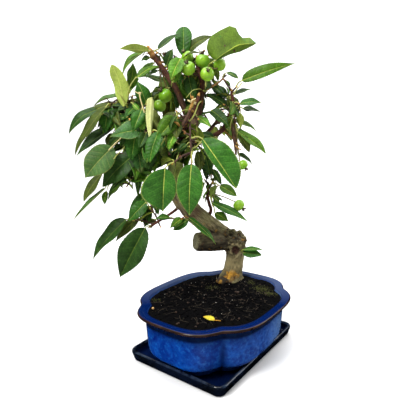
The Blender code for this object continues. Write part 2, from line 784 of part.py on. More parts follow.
def try_leaf(mass, rng, site, size, limbs, masses):
    """A leaf that arches out and hangs from its twig, skipped where it touches or strays."""
    root, heading = site
    foot = root + heading * size * rng.uniform(0.14, 0.26) + Vector((0, 0, 1.5))
    hang = Vector((0, 0, -rng.uniform(0.15, 1.0)))
    way = (heading + hang).normalized()
    top = Vector((0, 0, 1)) + heading * 0.35
    face = (top - way * top.dot(way)).normalized()
    normal = Matrix.Rotation(rng.gauss(0, 0.5), 3, way) @ face
    width = size * rng.uniform(0.5, 0.66)
    leaf = Leaf(root, foot, foot + way * size, normal, width, LEAF_BOW, False)
    shown = [foot + way * size * part for part in (0.3, 0.6, 0.85, 1)]
    if not all(in_space(p, mass.space) for p in shown[1:]):
        return False
    if any(in_sky(p) for p in shown + blade_rings(leaf, LEAF_OUTLINE)[0]):
        return False
    if not is_clear(blade(leaf, CLEAR), mass, limbs, masses):
        return False
    if not is_clear(stalk(leaf, CLEAR), mass, limbs, masses):
        return False
    if touches(solid_of(blade(leaf), mass.name), mass.solids):
        return False
    mass.add_leaf(leaf)
    return True


def grow_crown(limbs, stems):
    """All the masses: fruit and hand-set leaves first, then twigs and leaves by the seeded rule."""
    masses = [Mass(*stem) for stem in stems]
    for mass in masses:
        grow_fruit(mass, FRUIT.get(mass.name, []), limbs, masses)
    for mass in masses:
        grow_leads(mass, LEADS.get(mass.name, []), limbs, masses)
    growing = [mass for mass in masses if mass.space]
    rngs = {mass.name: random.Random(f"{SEED} {mass.name}") for mass in growing}
    for mass in growing:
        for index in range(mass.space.twigs):
            try_twig(mass, rngs[mass.name], index, limbs, masses)
    queues = {mass.name: leaf_sites(mass, rngs[mass.name]) for mass in growing}
    while any(queues.values()):
        for mass in growing:
            if queues[mass.name]:
                grow_leaf(mass, rngs[mass.name], queues[mass.name].pop(), limbs, masses)
    return masses


def boolean(obj, operation, shapes, material):
    """Joins the object with the shapes, or cuts it by them, in one step."""
    group = bpy.data.collections.new(obj.name + "_pieces")
    for k, shape in enumerate(shapes):
        helper = add_object(f"{obj.name}_{k}", shape, material, MM, obj.parent)
        bpy.context.scene.collection.objects.unlink(helper)
        group.objects.link(helper)
    modifier = obj.modifiers.new("join", "BOOLEAN")
    modifier.operation = operation
    modifier.operand_type = "COLLECTION"
    modifier.collection = group
    modifier.solver = "MANIFOLD"
    graph = bpy.context.evaluated_depsgraph_get()
    obj.data = bpy.data.meshes.new_from_object(obj.evaluated_get(graph))
    obj.modifiers.clear()
    for helper in list(group.objects):
        bpy.data.objects.remove(helper, do_unlink=True)
    bpy.data.collections.remove(group)


def combine(name, pieces, material, operation, frame):
    """One object in the plant's frame: the first piece, joined with or cut by the others."""
    body = add_object(name, pieces[0], material, MM, frame)
    boolean(body, operation, pieces[1:], material)
    return body


def split_limb(limb):
    """The limb's smooth line parted where the leaves begin, its way there, and the radii."""
    steps = 2
    whole = smooth_line(limb.bough_line + limb.stem_line, steps)
    joint = (len(limb.bough_line) - 1) * steps
    way = directions(whole)[joint]
    bough, stem = whole[: joint + 1], whole[joint:]
    bough[-1] = whole[joint]
    stem = [stem[0] + way * GAP / MM] + stem[1:]
    root, middle, tip = limb.radii
    return way, bough, tapered(bough, root, middle), stem, tapered(stem, middle, tip)


def add_plant(bark, leafy):
    frame = add_plant_frame()
    limbs = [solid_of(shape, "trunk") for shape in trunk_shapes(CLEAR)]
    stems = []
    cutters = trunk_shapes(GAP / MM)
    for limb in LIMBS:
        way, line, radii, stem, stem_radii = split_limb(limb)
        combine(limb.bough, [bough_tube(line, radii, way)] + cutters, bark, "DIFFERENCE",
                frame)
        cutters = cutters + [bough_tube(line, radii, way, GAP / MM)]
        limbs.append(solid_of(bough_tube(line, radii, way, CLEAR), limb.bough))
        stems.append((limb.mass, stem, stem_radii, way))
    knob = smooth_line(KNOB_STEM, 2)
    stems.append(("knob_leaves", knob, tapered(knob, 2.2, 2.0), None))
    combine("trunk", trunk_shapes(), bark, "UNION", frame)
    for mass in grow_crown(limbs, stems):
        body = combine(mass.name, mass.pieces, leafy, "UNION", frame)
        if mass.name == "knob_leaves":
            boolean(body, "DIFFERENCE", trunk_shapes(GAP / MM), leafy)


def main():
    clear_scene()
    glaze = make_material("cobalt glaze", (0.02, 0.09, 0.36), 0.2)
    dark_glaze = make_material("dark glaze", (0.012, 0.02, 0.06), 0.2)
    earth = make_material("potting soil", (0.012, 0.010, 0.008), 0.95)
    bark = make_material("bark", (0.16, 0.12, 0.08), 0.85)
    leafy = make_material("leaves", (0.06, 0.17, 0.05), 0.5)
    add_tray(dark_glaze)
    add_pot(glaze)
    add_soil(earth)
    add_plant(bark, leafy)


main()
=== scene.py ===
"""The looks of a small apple bonsai with green fruit, in a lobed blue pot on its drip tray.

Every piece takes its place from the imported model, which is the frame, in metres. The plant
is laid out in its own frame of millimetres: right, away and up, as someone sees it from
the front corner of the pot, measured from the foot of the trunk. Its twigs and leaves grow
by the seeded rule that the solids follow, in finer shapes and with finer twigs.
"""

import math
import random
from collections import namedtuple

import bmesh
import bpy
import numpy as np
from mathutils import Matrix, Vector, noise
from mathutils.bvhtree import BVHTree
from mathutils.kdtree import KDTree


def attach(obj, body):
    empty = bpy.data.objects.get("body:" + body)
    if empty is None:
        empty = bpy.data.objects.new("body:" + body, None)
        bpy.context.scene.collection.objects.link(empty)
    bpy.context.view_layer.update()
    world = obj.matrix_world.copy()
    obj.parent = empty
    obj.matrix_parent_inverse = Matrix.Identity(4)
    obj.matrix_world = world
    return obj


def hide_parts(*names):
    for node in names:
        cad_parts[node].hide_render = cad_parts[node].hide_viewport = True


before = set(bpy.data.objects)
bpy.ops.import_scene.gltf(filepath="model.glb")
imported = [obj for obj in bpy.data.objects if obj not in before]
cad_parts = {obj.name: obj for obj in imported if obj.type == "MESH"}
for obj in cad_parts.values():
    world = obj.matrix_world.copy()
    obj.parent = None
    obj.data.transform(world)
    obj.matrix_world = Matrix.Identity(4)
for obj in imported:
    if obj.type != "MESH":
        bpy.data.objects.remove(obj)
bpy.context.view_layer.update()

# View of the photograph, in the row's frame
CAMERA_PLACE = (-0.3777, -0.2550, 0.2555)
CAMERA_TURN = math.radians(-54.68)
CAMERA_DROP = math.radians(9.517)
LENS = 33

# Pot, soil and tray, in metres, as the solids have them
RIM_LENGTH = 0.205
LONG_LOBE = (RIM_LENGTH / 2, 0.0649)
SHORT_LOBE = (0.0800, 0.0838)
LOBE_SQUARENESS = 3.4
LOBE_BLEND = 60
RIM_TOP = 0.0675
RIM_WIDTH = 0.0100
RIM_THICKNESS = 0.0036
BODY_TOP = 0.0612
BODY_BOTTOM = 0.0146
FOOT_INSET = 0.0250
FOOT_WIDTH = 0.0072
POT_FLOOR = 0.0196
SOIL_TOP = 0.0655
TRAY_SIZE = (0.1778, 0.1342)
TRAY_FLARE = 0.0030
TRAY_HEIGHT = 0.0136
TRAY_FLOOR = 0.0040
TRAY_WALL = 0.0045
TRAY_CORNER = 0.0115
TRAY_CORNER_POINTS = 14
POT_POINTS = 240
# Rings of the pot's wall, as shares of its height, closer where it curves
WALL_SHARES = (0.015, 0.035, 0.06, 0.09, 0.13, 0.18, 0.25, 0.36, 0.5, 0.65, 0.8, 0.86, 0.92, 1.0)
INSIDE_HEIGHTS = (0.0225, 0.035, 0.058)
SOIL_ROWS = 64

# Plant frame: where its foot stands, the eye in front of it, and the way to and from metres
FOOT = (0.067, 0.022)
EYE = Vector((-31, -523, 255))
MM = 0.001
GROUND = SOIL_TOP / MM
GAP = 0.3
TO_ROW = Matrix.Translation((*FOOT, 0)) @ Matrix.Rotation(CAMERA_TURN, 4, "Z") @ Matrix.Scale(MM, 4)
TO_PLANT = TO_ROW.inverted()

# Plant, in millimetres
TRUNK_SIDES = 12
BOUGH_SIDES = 8
TWIG_SIDES = 3
TWIG_RADIUS = 1.9
TWIG_TIP_RADIUS = 1.6
STALK_RADIUS = 0.6
LEAF_THICKNESS = 1.1
LEAF_FOLD = math.radians(16)
LEAF_BOW = 0.05
# Half widths of a blade along its length, as shares of the length and of the full width
LEAD_OUTLINE = ((0, 0.08), (0.26, 0.45), (0.66, 0.40))
LEAF_OUTLINE = ((0.40, 0.50),)
STALK_REACH = 16
CLEAR = 0.45
TWIG_STEP = 4
LEAF_TRIES = 9
ROOT_SHIFT = 0.35
ROSETTE = 7
ROSETTE_STEP = 2.0
SIDE_STEP = 5.5
BARE_FOOT = 8
SUNK = 1.5
FRUIT_ROWS = 5
FRUIT_SIDES = 8
CROWDED = 8
DEPTHS = (0, -4, 4, -8, 8, -13, 13)
# Ways a twig may bow, as shares of its length: right, away and up
BENDS = ((0, 0, 0.08), (0, 0, -0.14), (0, 0.2, 0.1), (0, -0.2, 0.1), (0.2, 0, 0), (-0.2, 0, 0))
GOLDEN_TURN = math.radians(137.5)
SEED = 37

# Trunk line: right, away, up above the soil, radius
TRUNK_LINE = [
    (3, 0, 0, 15.5),
    (4, 0, 7, 13.8),
    (6.5, 0, 24, 12.9),
    (7, 0, 42, 13.2),
    (-1, 1, 56, 14.0),
    (-15, 3, 65, 13.6),
    (-35, 4, 81, 13.6),
    (-57, 4, 101, 13.2),
    (-73, 3, 122, 11.9),
    (-78, 1, 145, 10.2),
    (-74, 0, 164, 9.2),
    (-64, 0, 181, 8.0),
]
BURR = ((6, -2, 55), (16.5, 15, 14.5))
STUB_LINE = [(4, 2, 54, 11.6), (-20, -8, 56, 12.4), (-49, -19, 59, 13.0)]
BURR_ROWS = 6
BURR_SIDES = 10
FLARE_HEIGHT = 16
FLARE_LOBES = 3
BARK_STEPS = 8
TRUNK_FINE_SIDES = 40
STUB_FINE_SIDES = 28
BOUGH_FINE_SIDES = 20
TWIG_FINE_SIDES = 7
STALK_FINE_SIDES = 6

Limb = namedtuple("Limb", "bough bough_line mass stem_line radii")
LIMBS = [
    Limb("bough_leader", [(-64, 0, 246), (-54, 3, 272), (-44, 6, 300), (-40, 4, 320)],
         "crown_top", [(-39, 2, 336), (-44, 1, 352), (-46, 6, 368)], (6.4, 4.4, 2.4)),
    Limb("bough_top_left", [(-54, 3, 274), (-61, 3, 298), (-70, 1, 320), (-79, 0, 336)],
         "crown_top_left", [(-90, 0, 352), (-104, 0, 372), (-108, 0, 378)], (5.0, 4.4, 3.4)),
    Limb("bough_left", [(-77, 1, 222), (-94, 4, 240), (-109, 4, 256), (-118, 2, 276)],
         "crown_left", [(-127, 0, 297), (-138, 0, 312), (-146, 0, 321)], (5.0, 3.8, 2.4)),
    Limb("bough_low_left", [(-79, 2, 204), (-100, 8, 206), (-122, 8, 206)],
         "crown_low_left", [(-140, 6, 210), (-157, 3, 220)], (3.8, 3.0, 2.3)),
    Limb("bough_front_left", [(-77, 0, 232), (-92, -16, 245), (-106, -27, 258)],
         "crown_front_left", [(-118, -31, 270), (-128, -32, 284)], (4.2, 3.4, 2.4)),
    Limb("bough_front", [(-68, 0, 244), (-69, -16, 251), (-66, -27, 262)],
         "crown_front", [(-58, -33, 282), (-47, -35, 300), (-43, -35, 314)], (4.6, 3.8, 2.4)),
    Limb("bough_right", [(-60, 2, 246), (-44, 5, 258), (-26, 6, 265), (-11, 4, 275)],
         "crown_right", [(-3, 2, 291), (2, 0, 308), (0, 0, 324)], (5.4, 4.0, 2.4)),
    Limb("bough_right_low", [(-34, 4, 150), (-27, -2, 164), (-30, -4, 176)],
         "crown_right_low", [(-32, -7, 191), (-26, -9, 203)], (3.2, 2.6, 2.1)),
    Limb("bough_drop", [(-64, 4, 174), (-74, -3, 167), (-84, -6, 160)],
         "crown_drop", [(-97, -8, 152), (-110, -10, 144)], (2.8, 2.4, 2.1)),
    Limb("bough_back", [(-45, 5, 296), (-49, 24, 310), (-53, 42, 322)],
         "crown_back", [(-57, 56, 336), (-60, 66, 352)], (4.4, 3.4, 2.4)),
    Limb("bough_back_left", [(-77, 2, 226), (-86, 22, 238), (-97, 44, 252)],
         "crown_back_left", [(-108, 60, 268), (-118, 70, 288)], (4.6, 3.4, 2.4)),
    Limb("bough_back_right", [(-62, 2, 244), (-50, 22, 255), (-36, 42, 268)],
         "crown_back_right", [(-22, 56, 284), (-10, 64, 302)], (4.6, 3.4, 2.4)),
]

# Space of each mass: centre and half size (right, away, up), twigs, leaf length
Space = namedtuple("Space", "centre half twigs leaf")
SPACES = {
    "crown_top": Space((-46, 4, 340), (40, 34, 40), 4, 40),
    "crown_top_left": Space((-104, 4, 362), (28, 20, 22), 2, 30),
    "crown_left": Space((-142, 2, 290), (48, 38, 42), 4, 48),
    "crown_low_left": Space((-128, 0, 218), (42, 36, 34), 4, 46),
    "crown_front_left": Space((-108, -36, 256), (40, 32, 44), 5, 44),
    "crown_front": Space((-64, -36, 258), (44, 34, 52), 5, 46),
    "crown_right": Space((-8, 4, 288), (28, 36, 44), 4, 36),
    "crown_right_low": Space((-24, -6, 192), (24, 20, 28), 2, 28),
    "crown_drop": Space((-112, -6, 160), (26, 22, 24), 1, 34),
    "crown_back": Space((-72, 58, 322), (48, 42, 42), 6, 46),
    "crown_back_left": Space((-112, 62, 258), (48, 44, 42), 6, 48),
    "crown_back_right": Space((-34, 58, 266), (44, 44, 44), 6, 44),
}

# Sky that shows through the crown from the front: right, up, half width, half height
SKY = [
    (-104, 334, 16, 10), (-30, 281, 14, 12), (-21, 309, 11, 6), (-143, 182, 24, 13),
    (-86, 170, 10, 9), (-8, 252, 10, 9), (-6, 206, 10, 8), (-114, 362, 10, 6), (5, 338, 12, 12),
]

# What no small leaf hides: right, up, half width, half height, and the depth up to which
# small leaves are left out there
OPENED = [(-38, 356, 25, 15, -6), (-54, 294, 8, 19, -38), (-31, 281, 13, 9, 60),
          (-62, 312, 7, 30, -30), (-13, 264, 9, 11, 60), (-20, 280, 8, 11, 60), (-13, 189, 6, 5, 60)]

# Leaves that make the outline and the front: the blade's foot (right, away, up), then the
# heading seen from the front in degrees, how far the tip lies behind the foot, the blade's
# length and width, its roll, from 0 facing the front to 180 showing its back, and its bow
Lead = namedtuple("Lead", "foot aim lean length width roll bow", defaults=(LEAF_BOW,))
LEADS = {
    "crown_top": [
        Lead((-32, -22, 377), 1, -8, 60, 46, -150),
        Lead((-63, 8, 370), 91, 6, 40, 23.5, -6),
        Lead((-58, 15, 377.5), 27, -10, 41, 18, -35, 0.12),
        Lead((-76, -18, 333), 64, -7, 31, 16, -20),
        Lead((-65, -20, 362), -116, -6, 30, 20, 20),
    ],
    "crown_top_left": [
        Lead((-107, -3, 374), 177, -6, 38, 18, 112, 0),
        Lead((-116, 3, 374), -143, -4, 42, 17, 45),
        Lead((-97, 8, 378.5), 38, 7, 35, 16, -48),
        Lead((-89, 10, 338), 166, 5, 36, 17, 55),
        Lead((-103, 12, 362), -150, 8, 31, 15, 50),
        Lead((-85, 0, 356), 68, -4, 23, 16, -30),
    ],
    "crown_left": [
        Lead((-139.5, -18, 303), 96, -4, 52, 22, 165),
        Lead((-136, 2, 328), 80, 8, 36, 18, 50),
        Lead((-151, 8, 319), -163, 4, 40, 20, 65),
        Lead((-171, 0, 302), -147, -10, 56, 20, 40, 0.13),
        Lead((-164, -12, 303), -122, -13, 75, 26, 50),
        Lead((-159, 5, 277), -145, -5, 64, 25, 48),
        Lead((-139, 15, 322), 60, 10, 29, 18, -50),
        Lead((-113, 6, 306), 113, 4, 37, 22, 30),
    ],
    "crown_front_left": [
        Lead((-106, -38, 273), -172, -7, 48, 27, 35),
        Lead((-99, -45, 311), -89, -10, 55, 24, 118),
        Lead((-91, -50, 270), -109, -12, 40, 20, 25),
        Lead((-103, -46, 259), -95, -4, 27, 16, 10),
        Lead((-90, -22, 248), -116, -8, 32, 17, 10),
    ],
    "crown_low_left": [
        Lead((-153, -28, 252), -132, -17, 53, 36, 10),
        Lead((-126, -18, 243), -138, -10, 62, 32, 20),
        Lead((-174, -8, 216), -124, -7, 46, 20, 45),
        Lead((-169, -15, 197), -136, -13, 58, 18, 72, 0.0),
        Lead((-151, 2, 200), -133, 3, 31, 16, 60),
        Lead((-122, -4, 222), -97, -4, 40, 12, 30),
    ],
    "crown_front": [
        Lead((-51, -60, 232), -95, -6, 63, 33, 5),
        Lead((-83, -62, 227), -97, 4, 55, 43, -10),
        Lead((-38, -48, 262), -56, -12, 74, 43, -12),
        Lead((-40, -34, 256), 128, 8, 36, 22, 175),
        Lead((-45, -25, 290), -38, -10, 23, 12, -40),
        Lead((-94, -22, 277), 35, -8, 35, 18, -45),
        Lead((-69, -48, 273), -113, -7, 28, 15, 35),
        Lead((-38, -8, 248), -72, -6, 39, 18, -20),
    ],
    "crown_right": [
        Lead((13, -6, 337), 17, -8, 71, 16, -6, 0.08),
        Lead((5, 4, 321), 17, 4, 24, 12, -55),
        Lead((11, -4, 308), 4, -6, 28, 15, -45),
        Lead((16, 6, 303), -10, -4, 25, 13, -50),
        Lead((-27, -8, 299), -41, -14, 34, 16, -25),
        Lead((8, 0, 272), -37, -8, 49, 20, -50),
        Lead((10, 6, 242), -33, -4, 25, 12, -55),
        Lead((7, 6, 285), -19, 8, 32, 14, -60),
        Lead((-6, 8, 317), 140, 6, 30, 17, 30),
        Lead((-6, 4, 310), 166, 6, 20, 10, 40),
    ],
    "crown_right_low": [
        Lead((-26, -14, 177.5), -28, -10, 55, 18, -60),
        Lead((-15, 0, 199), -31, -6, 28, 15, -35),
        Lead((-22, -18, 164), -30, -6, 22, 14, -40),
    ],
    "knob_leaves": [
        Lead((17, -15, 112), 3, -5, 27, 9, -62),
        Lead((17, -16, 108), -4, -6, 26, 14, -40),
    ],
    "crown_drop": [
        Lead((-116.5, -14, 143), -117, -10, 78, 36, 10),
        Lead((-115, -14, 178), -134, -6, 35, 20, 15),
        Lead((-58, -14, 154), -143, 4, 27, 14, 30),
        Lead((-58, -20, 158), -41, -10, 52, 18, -70),
        Lead((-109, 0, 171), -110, -4, 31, 18, 40),
        Lead((-115, -4, 189), -123, -4, 46, 20, 20),
        Lead((-145, 2, 151.5), -131, -8, 76, 30, 50),
        Lead((-129, 8, 154), -133, 2, 53, 20, 40),
    ],
}

# Fruit: centre (right, away, up) and radius
FRUIT = {
    "crown_top": [(-56, -18, 350, 9.0), (-38, -9, 361, 9.2), (-32, -24, 342, 8.8),
                  (-16, -5, 357, 8.2), (-58, 4, 368, 8.2)],
    "crown_top_left": [(-88, 2, 319, 9.2), (-97, 14, 307, 8.6)],
    "crown_right": [(16, -6, 228, 6.8)],
    "crown_right_low": [(11, -8, 173, 8.0)],
}

KNOB_STEM = [(10, -8, 110), (16, -14, 110)]

# Looks of the leaves, in colours of 0 to 255: upper face, back, rib, side vein, and pale rim
# or tip. Last is the roughness
Look = namedtuple("Look", "top back rib vein edge rough")
LOOKS = {
    "deep": Look((50, 96, 28), (108, 128, 51), (124, 147, 62), (64, 107, 36), (46, 90, 26), 0.38),
    "rimmed": Look((54, 103, 33), (120, 141, 57), (168, 179, 79), (70, 118, 42), (126, 148, 68), 0.36),
    "dark": Look((40, 70, 23), (84, 102, 38), (92, 113, 44), (52, 81, 30), (46, 75, 25), 0.42),
    "middle": Look((72, 109, 26), (116, 133, 44), (138, 154, 56), (84, 120, 34), (74, 109, 28), 0.42),
    "blue": Look((58, 100, 44), (122, 133, 62), (138, 152, 72), (74, 113, 54), (104, 124, 61), 0.36),
    "sage": Look((66, 98, 44), (118, 126, 64), (126, 136, 68), (90, 110, 53), (108, 120, 58), 0.50),
    "olive": Look((66, 80, 26), (92, 98, 34), (112, 118, 49), (76, 88, 32), (78, 86, 30), 0.46),
    "young": Look((86, 135, 36), (140, 156, 61), (164, 177, 75), (100, 147, 46), (96, 139, 43), 0.38),
    "sunlit": Look((66, 111, 28), (104, 124, 28), (178, 175, 69), (94, 117, 28), (92, 117, 26), 0.42),
    # This look's back, side veins and rim are pale yellow-green: partly the leaf's paler underside, partly
    # painted light shining through the blade.
    "pale": Look((66, 104, 36), (150, 166, 74), (178, 186, 96), (160, 180, 84), (140, 158, 60), 0.50),
    # This look is near-white yellow-green on every face: painted light shining through a backlit blade.
    "milky": Look((236, 242, 158), (238, 244, 162), (240, 244, 168), (240, 246, 166),
                  (226, 234, 150), 0.55),
    "torn": Look((62, 112, 24), (84, 110, 26), (160, 176, 66), (92, 118, 30), (92, 122, 26), 0.45),
}
LEAD_LOOKS = {
    "crown_top": ("torn", "deep", "olive", "middle", "young"),
    "crown_top_left": ("pale", "middle", "dark", "middle", "middle", "dark"),
    "crown_left": ("pale", "middle", "sage", "dark", "olive", "dark", "middle", "deep"),
    "crown_front_left": ("blue", "milky", "deep", "rimmed", "dark"),
    "crown_low_left": ("sage", "dark", "olive", "sage", "middle", "dark"),
    "crown_front": ("rimmed", "rimmed", "rimmed", "sunlit", "young", "olive", "young", "dark"),
    "crown_right": ("middle", "dark", "deep", "dark", "dark", "middle", "dark", "middle",
                    "dark", "dark"),
    "crown_right_low": ("deep", "middle", "middle"),
    "knob_leaves": ("deep", "deep"),
    "crown_drop": ("dark", "deep", "deep", "rimmed", "dark", "deep", "dark", "olive"),
}
FILLER_LOOKS = ("deep", "deep", "deep", "middle", "middle", "dark", "dark", "dark", "blue", "young")
INNER_LOOKS = ("dark", "dark", "dark", "deep", "deep", "middle", "olive")

# Which way the eye of each fruit looks: right, away and up
EYES = {
    "crown_top": [(-0.2, -0.72, 0.66), (0.0, -0.25, 0.97), (0.12, -0.92, 0.4), (0.5, 0.5, 0.7),
                  (-0.55, -0.2, 0.8)],
    "crown_top_left": [(-0.55, -0.5, 0.67), (-0.6, 0.2, -0.75)],
    "crown_right": [(0.58, -0.25, -0.78)],
    "crown_right_low": [(0.75, -0.2, -0.62)],
}
DRIED_EYES = [((-74, -2, 366), (0.4, -0.5, 0.7), (-88, 0, 349)),
              ((-88, -1, 370), (-0.2, -0.4, 0.9), (-97, 0, 362)),
              ((-10, -4, 343), (0.6, -0.3, 0.7), (-40, 3, 322))]

# Buds, given one by one: foot, heading and length
BUDS = [((-149, -1, 326), (-0.3, -0.1, 1), 5.0), ((-140, -1, 319), (0.1, -0.2, 1), 5.5),
        ((-72, -36, 282), (-0.7, -0.3, 0.4), 5.0), ((-112, -2, 377), (-0.4, -0.1, 1), 4.5),
        ((-69, -35, 286), (0.3, -0.4, 0.9), 4.0), ((-12, 0, 342), (0.5, -0.2, 0.8), 4.5),
        ((-98, -3, 371), (0.7, -0.2, 0.6), 4.0)]
TAN_TIPS = {"crown_top_left": 15, "crown_left": 8}

# Small leaves, given one by one: mass, root of the stalk, foot, tip, width and look
EXTRAS = [
    ("crown_right", (-12, -4, 341), (-7, -6, 347), (9, -9, 339), 8, "blue"),
    ("crown_right", (-14, -4, 338), (-8, -7, 337), (0, -9, 328), 4, "dark"),
    ("crown_left", (-142, 2, 270), (-145, -8, 265), (-164, -14, 252), 13, "dark"),
    ("crown_low_left", (-167, 0, 200), (-170, -3, 192), (-175, -6, 174), 9, "middle"),
    ("crown_top_left", (-123, -16, 339), (-121, -18, 339), (-93, -8, 357), 13, "middle"),
    ("crown_right", (-4, 2, 304), (-5, 0, 303), (-34, 6, 324), 13, "dark"),
    ("crown_right", (-20, 2, 265), (-23, 0, 264), (-46, 4, 270), 12, "dark"),
    ("crown_front_left", (-130, -18, 308), (-127, -22, 306), (-115, -26, 294), 8, "young"),
    ("crown_top_left", (-104, 0, 368), (-106, -3, 366), (-118, -6, 362), 9, "dark"),
    ("crown_right", (-30, 8, 335), (-26, 4, 331), (-7, -2, 316), 12, "dark"),
    ("crown_right", (7, 4, 277), (9, -4, 270), (25, -10, 245), 13, "olive"),
    ("crown_drop", (-61, -10, 158), (-66, -14, 156), (-83, -16, 142), 12, "middle"),
    ("crown_low_left", (-124, 0, 221), (-129, -6, 217), (-171, -12, 194), 10, "dark"),
    ("crown_front", (-37, 0, 241), (-35, -4, 234), (-33, -6, 206), 10, "dark"),
    ("crown_left", (-148, 2, 316), (-153, 0, 309), (-194, -4, 291), 14, "olive"),
    ("crown_left", (-136, -4, 296), (-145, -8, 289), (-160, -12, 299), 13, "dark"),
    ("crown_left", (-128, -6, 294), (-136, -14, 290), (-155, -18, 285), 10, "deep"),
    ("crown_left", (-138, 4, 260), (-141, 2, 254), (-167, 0, 243), 12, "dark"),
    ("crown_left", (-156, 4, 277), (-160, 4, 270), (-169, 2, 251), 11, "olive"),
    ("crown_right_low", (-27, -6, 208), (-25, -5, 222), (-13, -6, 199), 10, "dark"),
]
# Stalks and small shoots, given one by one: finish, radii and places
STALKS = [
    ("cream", (1.2, 0.9, 0.8, 0.8, 1.9), ((-105, -30, 268), (-106, -44, 282), (-110, -47, 299),
     (-113, -48, 311), (-113, -48, 317))),
    ("cream", (0.5, 0.45, 0.4), ((-114, -48, 315), (-120, -46, 318), (-127, -42, 316))),
    ("golden", (0.8, 0.7, 0.6), ((-104, -34, 268), (-114, -42, 267), (-126, -43, 268))),
    ("green", (0.8, 0.7, 0.7, 0.6), ((-100, -52, 245), (-89, -55, 254), (-83, -54, 264), (-90, -50, 270))),
    ("green", (0.8, 0.7, 0.6, 0.6), ((-134, -16, 314), (-132, -22, 322), (-128, -23, 330),
     (-122, -20, 339))),
    ("green", (1.1, 0.9, 0.8), ((-135, -12, 302), (-140, -22, 313), (-145, -24, 322))),
    ("cream", (0.7, 0.7, 0.6), ((-147, 0, 304), (-141, -8, 300), (-137, -12, 289))),
    ("green", (0.8, 0.7, 0.6, 0.6), ((-119, -24, 258), (-133, -36, 254), (-144, -38, 244),
     (-150, -38, 237))),
    ("cream", (0.9, 0.9, 0.8), ((-144, -20, 263), (-149, -32, 256), (-157, -34, 248))),
    ("green", (0.9, 0.8, 0.7, 0.6), ((-54, -38, 284), (-48, -42, 291), (-43, -38, 304), (-40, -24, 309))),
    ("green", (0.6, 0.5, 0.5, 0.5), ((-42, -10, 326), (-49, -30, 322), (-53, -34, 318), (-58, -34, 312))),
    ("brown", (2.4, 2.3, 2.1, 1.9), ((-73, -38, 259), (-68, -42, 270), (-58, -44, 285), (-52, -44, 299))),
    ("golden", (1.9, 2.0, 1.9, 1.5), ((-53, -44, 297), (-51, -44, 302), (-50, -44, 307), (-50, -44, 313))),
    ("golden", (0.9, 0.6, 0.3), ((-51, -44, 310), (-52, -45, 313), (-52, -45, 316))),
    ("cream", (0.9, 1.0, 0.6), ((-52, -46, 306), (-54, -47, 307), (-56, -47, 308))),
    ("cream", (0.9, 1.0, 0.6), ((-51, -46, 307), (-48, -47, 309), (-46, -46, 310))),
    ("golden", (1.2, 1.6, 0.8), ((-65, -40, 276), (-68, -50, 280), (-72, -52, 282))),
    ("green", (0.6, 0.5, 0.5, 0.5), ((-57, -40, 297), (-63, -46, 295), (-68, -50, 289), (-69, -50, 283))),
    ("green", (0.9, 0.8, 0.8), ((-51, -48, 250), (-51, -58, 243), (-50, -60, 233))),
    ("green", (0.7, 0.7, 0.6), ((-51, -50, 250), (-46, -50, 252), (-39, -48, 259))),
    ("green", (0.7, 0.6, 0.5), ((-61, -46, 248), (-68, -52, 250), (-75, -52, 246))),
    ("cream", (0.6, 0.6, 0.5), ((-71, -40, 259), (-64, -48, 254), (-59, -50, 248))),
    ("green", (0.8, 0.7, 0.6), ((-2, 0, 273), (-1, -10, 283), (2, -8, 293))),
    ("green", (0.7, 0.6, 0.5), ((1, 2, 297), (6, -4, 300), (11, -4, 304))),
    ("green", (0.7, 0.6, 0.6), ((7, 0, 262), (8, -4, 273), (13, -4, 278))),
    ("golden", (0.9, 1.0, 0.6), ((4, -2, 261), (7, -8, 257), (12, -8, 252))),
    ("green", (0.9, 0.8, 0.8), ((-3, 2, 315), (4, -3, 323), (13, -6, 334))),
    ("brown", (1.8, 2.2, 2.3, 2.0, 1.3), ((0, -3, 282), (2.5, -6, 271), (4.5, -6, 260), (6, -6, 249),
     (6.5, -6, 241))),
    ("golden", (0.9, 1.1, 0.5), ((5, -7, 254), (9, -10, 250), (13, -10, 248))),
    ("green", (0.7, 0.6, 0.6), ((-79, -4, 331), (-75, -24, 339), (-72, -26, 348))),
    ("green", (1.0, 0.9, 0.9), ((-34, -6, 324), (-34, -14, 330), (-34, -14, 338))),
]
# The big torn leaf at the top, seen from below: rib and both rims from foot to tip
TORN_RIB = ((-22, 359), (-17, 363), (-12, 366.5), (-6, 370), (-1, 373), (3, 375.5), (7.5, 377.5),
            (11, 378), (14.5, 378.5), (20, 379), (25.5, 379.4), (29.5, 379.5))
TORN_HIGH = ((-25, 361), (-31, 366), (-33, 374), (-31.5, 383), (-26, 389), (-17, 395), (-4.5, 400),
             (3.5, 398), (7, 390.5), (12, 386), (21, 386.5), (29.5, 379.5))
TORN_LOW = ((-20.5, 358.5), (-16, 360.5), (-10.5, 363), (-5, 365.5), (0, 367), (4.5, 368),
            (8.5, 369), (11, 370), (14, 371.5), (18, 373), (24.5, 376.3), (29.5, 379.5))
TORN_SPOTS = ((-10, 376), (2, 371))
TORN_DEPTH = -20
TORN_ROOT = (-36, -4, 342)

# Marks on the trunk: place and half size, in millimetres of the plant's frame
SCAR = ((7, -17, 111), (5.6, 8.0))
SCAR_DEPTH = 9
KNOBS = (((-4, -3, 133), 5.5), ((4, -6, 135), 4.8), ((12, -4, 132), 5.5), ((18, -7, 124), 4.4),
         ((19, -11, 113), 4.0), ((1, -14, 125), 4.5), ((11, -15, 126), 4.0), ((2, -14, 108), 3.5),
         ((-14, -2, 139), 3.5), ((-106, -1, 374), 4.3), ((-103, -1, 368), 4.2))
ROOT_KNOB = ((-11, -14, 66.5), (9, 8, 6.5))
OCHRE = (((1, -12, 75), 14), ((-13, -17, 64), 8))
VOXEL = 0.00088

# Where the glaze of the rim's edge has a dark chip, in metres: place and radius
CHIP = (-0.0492, -0.0787, 0.0016)
# Two lumps of bark by the trunk, and a dry seed, in metres: place, height above the soil, size
LOOSE_BARK = ((0.0245, -0.0166, 0.0018, 0.0027), (0.0225, -0.0150, 0.0030, 0.0018))
DRY_SEED = (-0.0729, 0.0396, 0.0012, 0.0014)
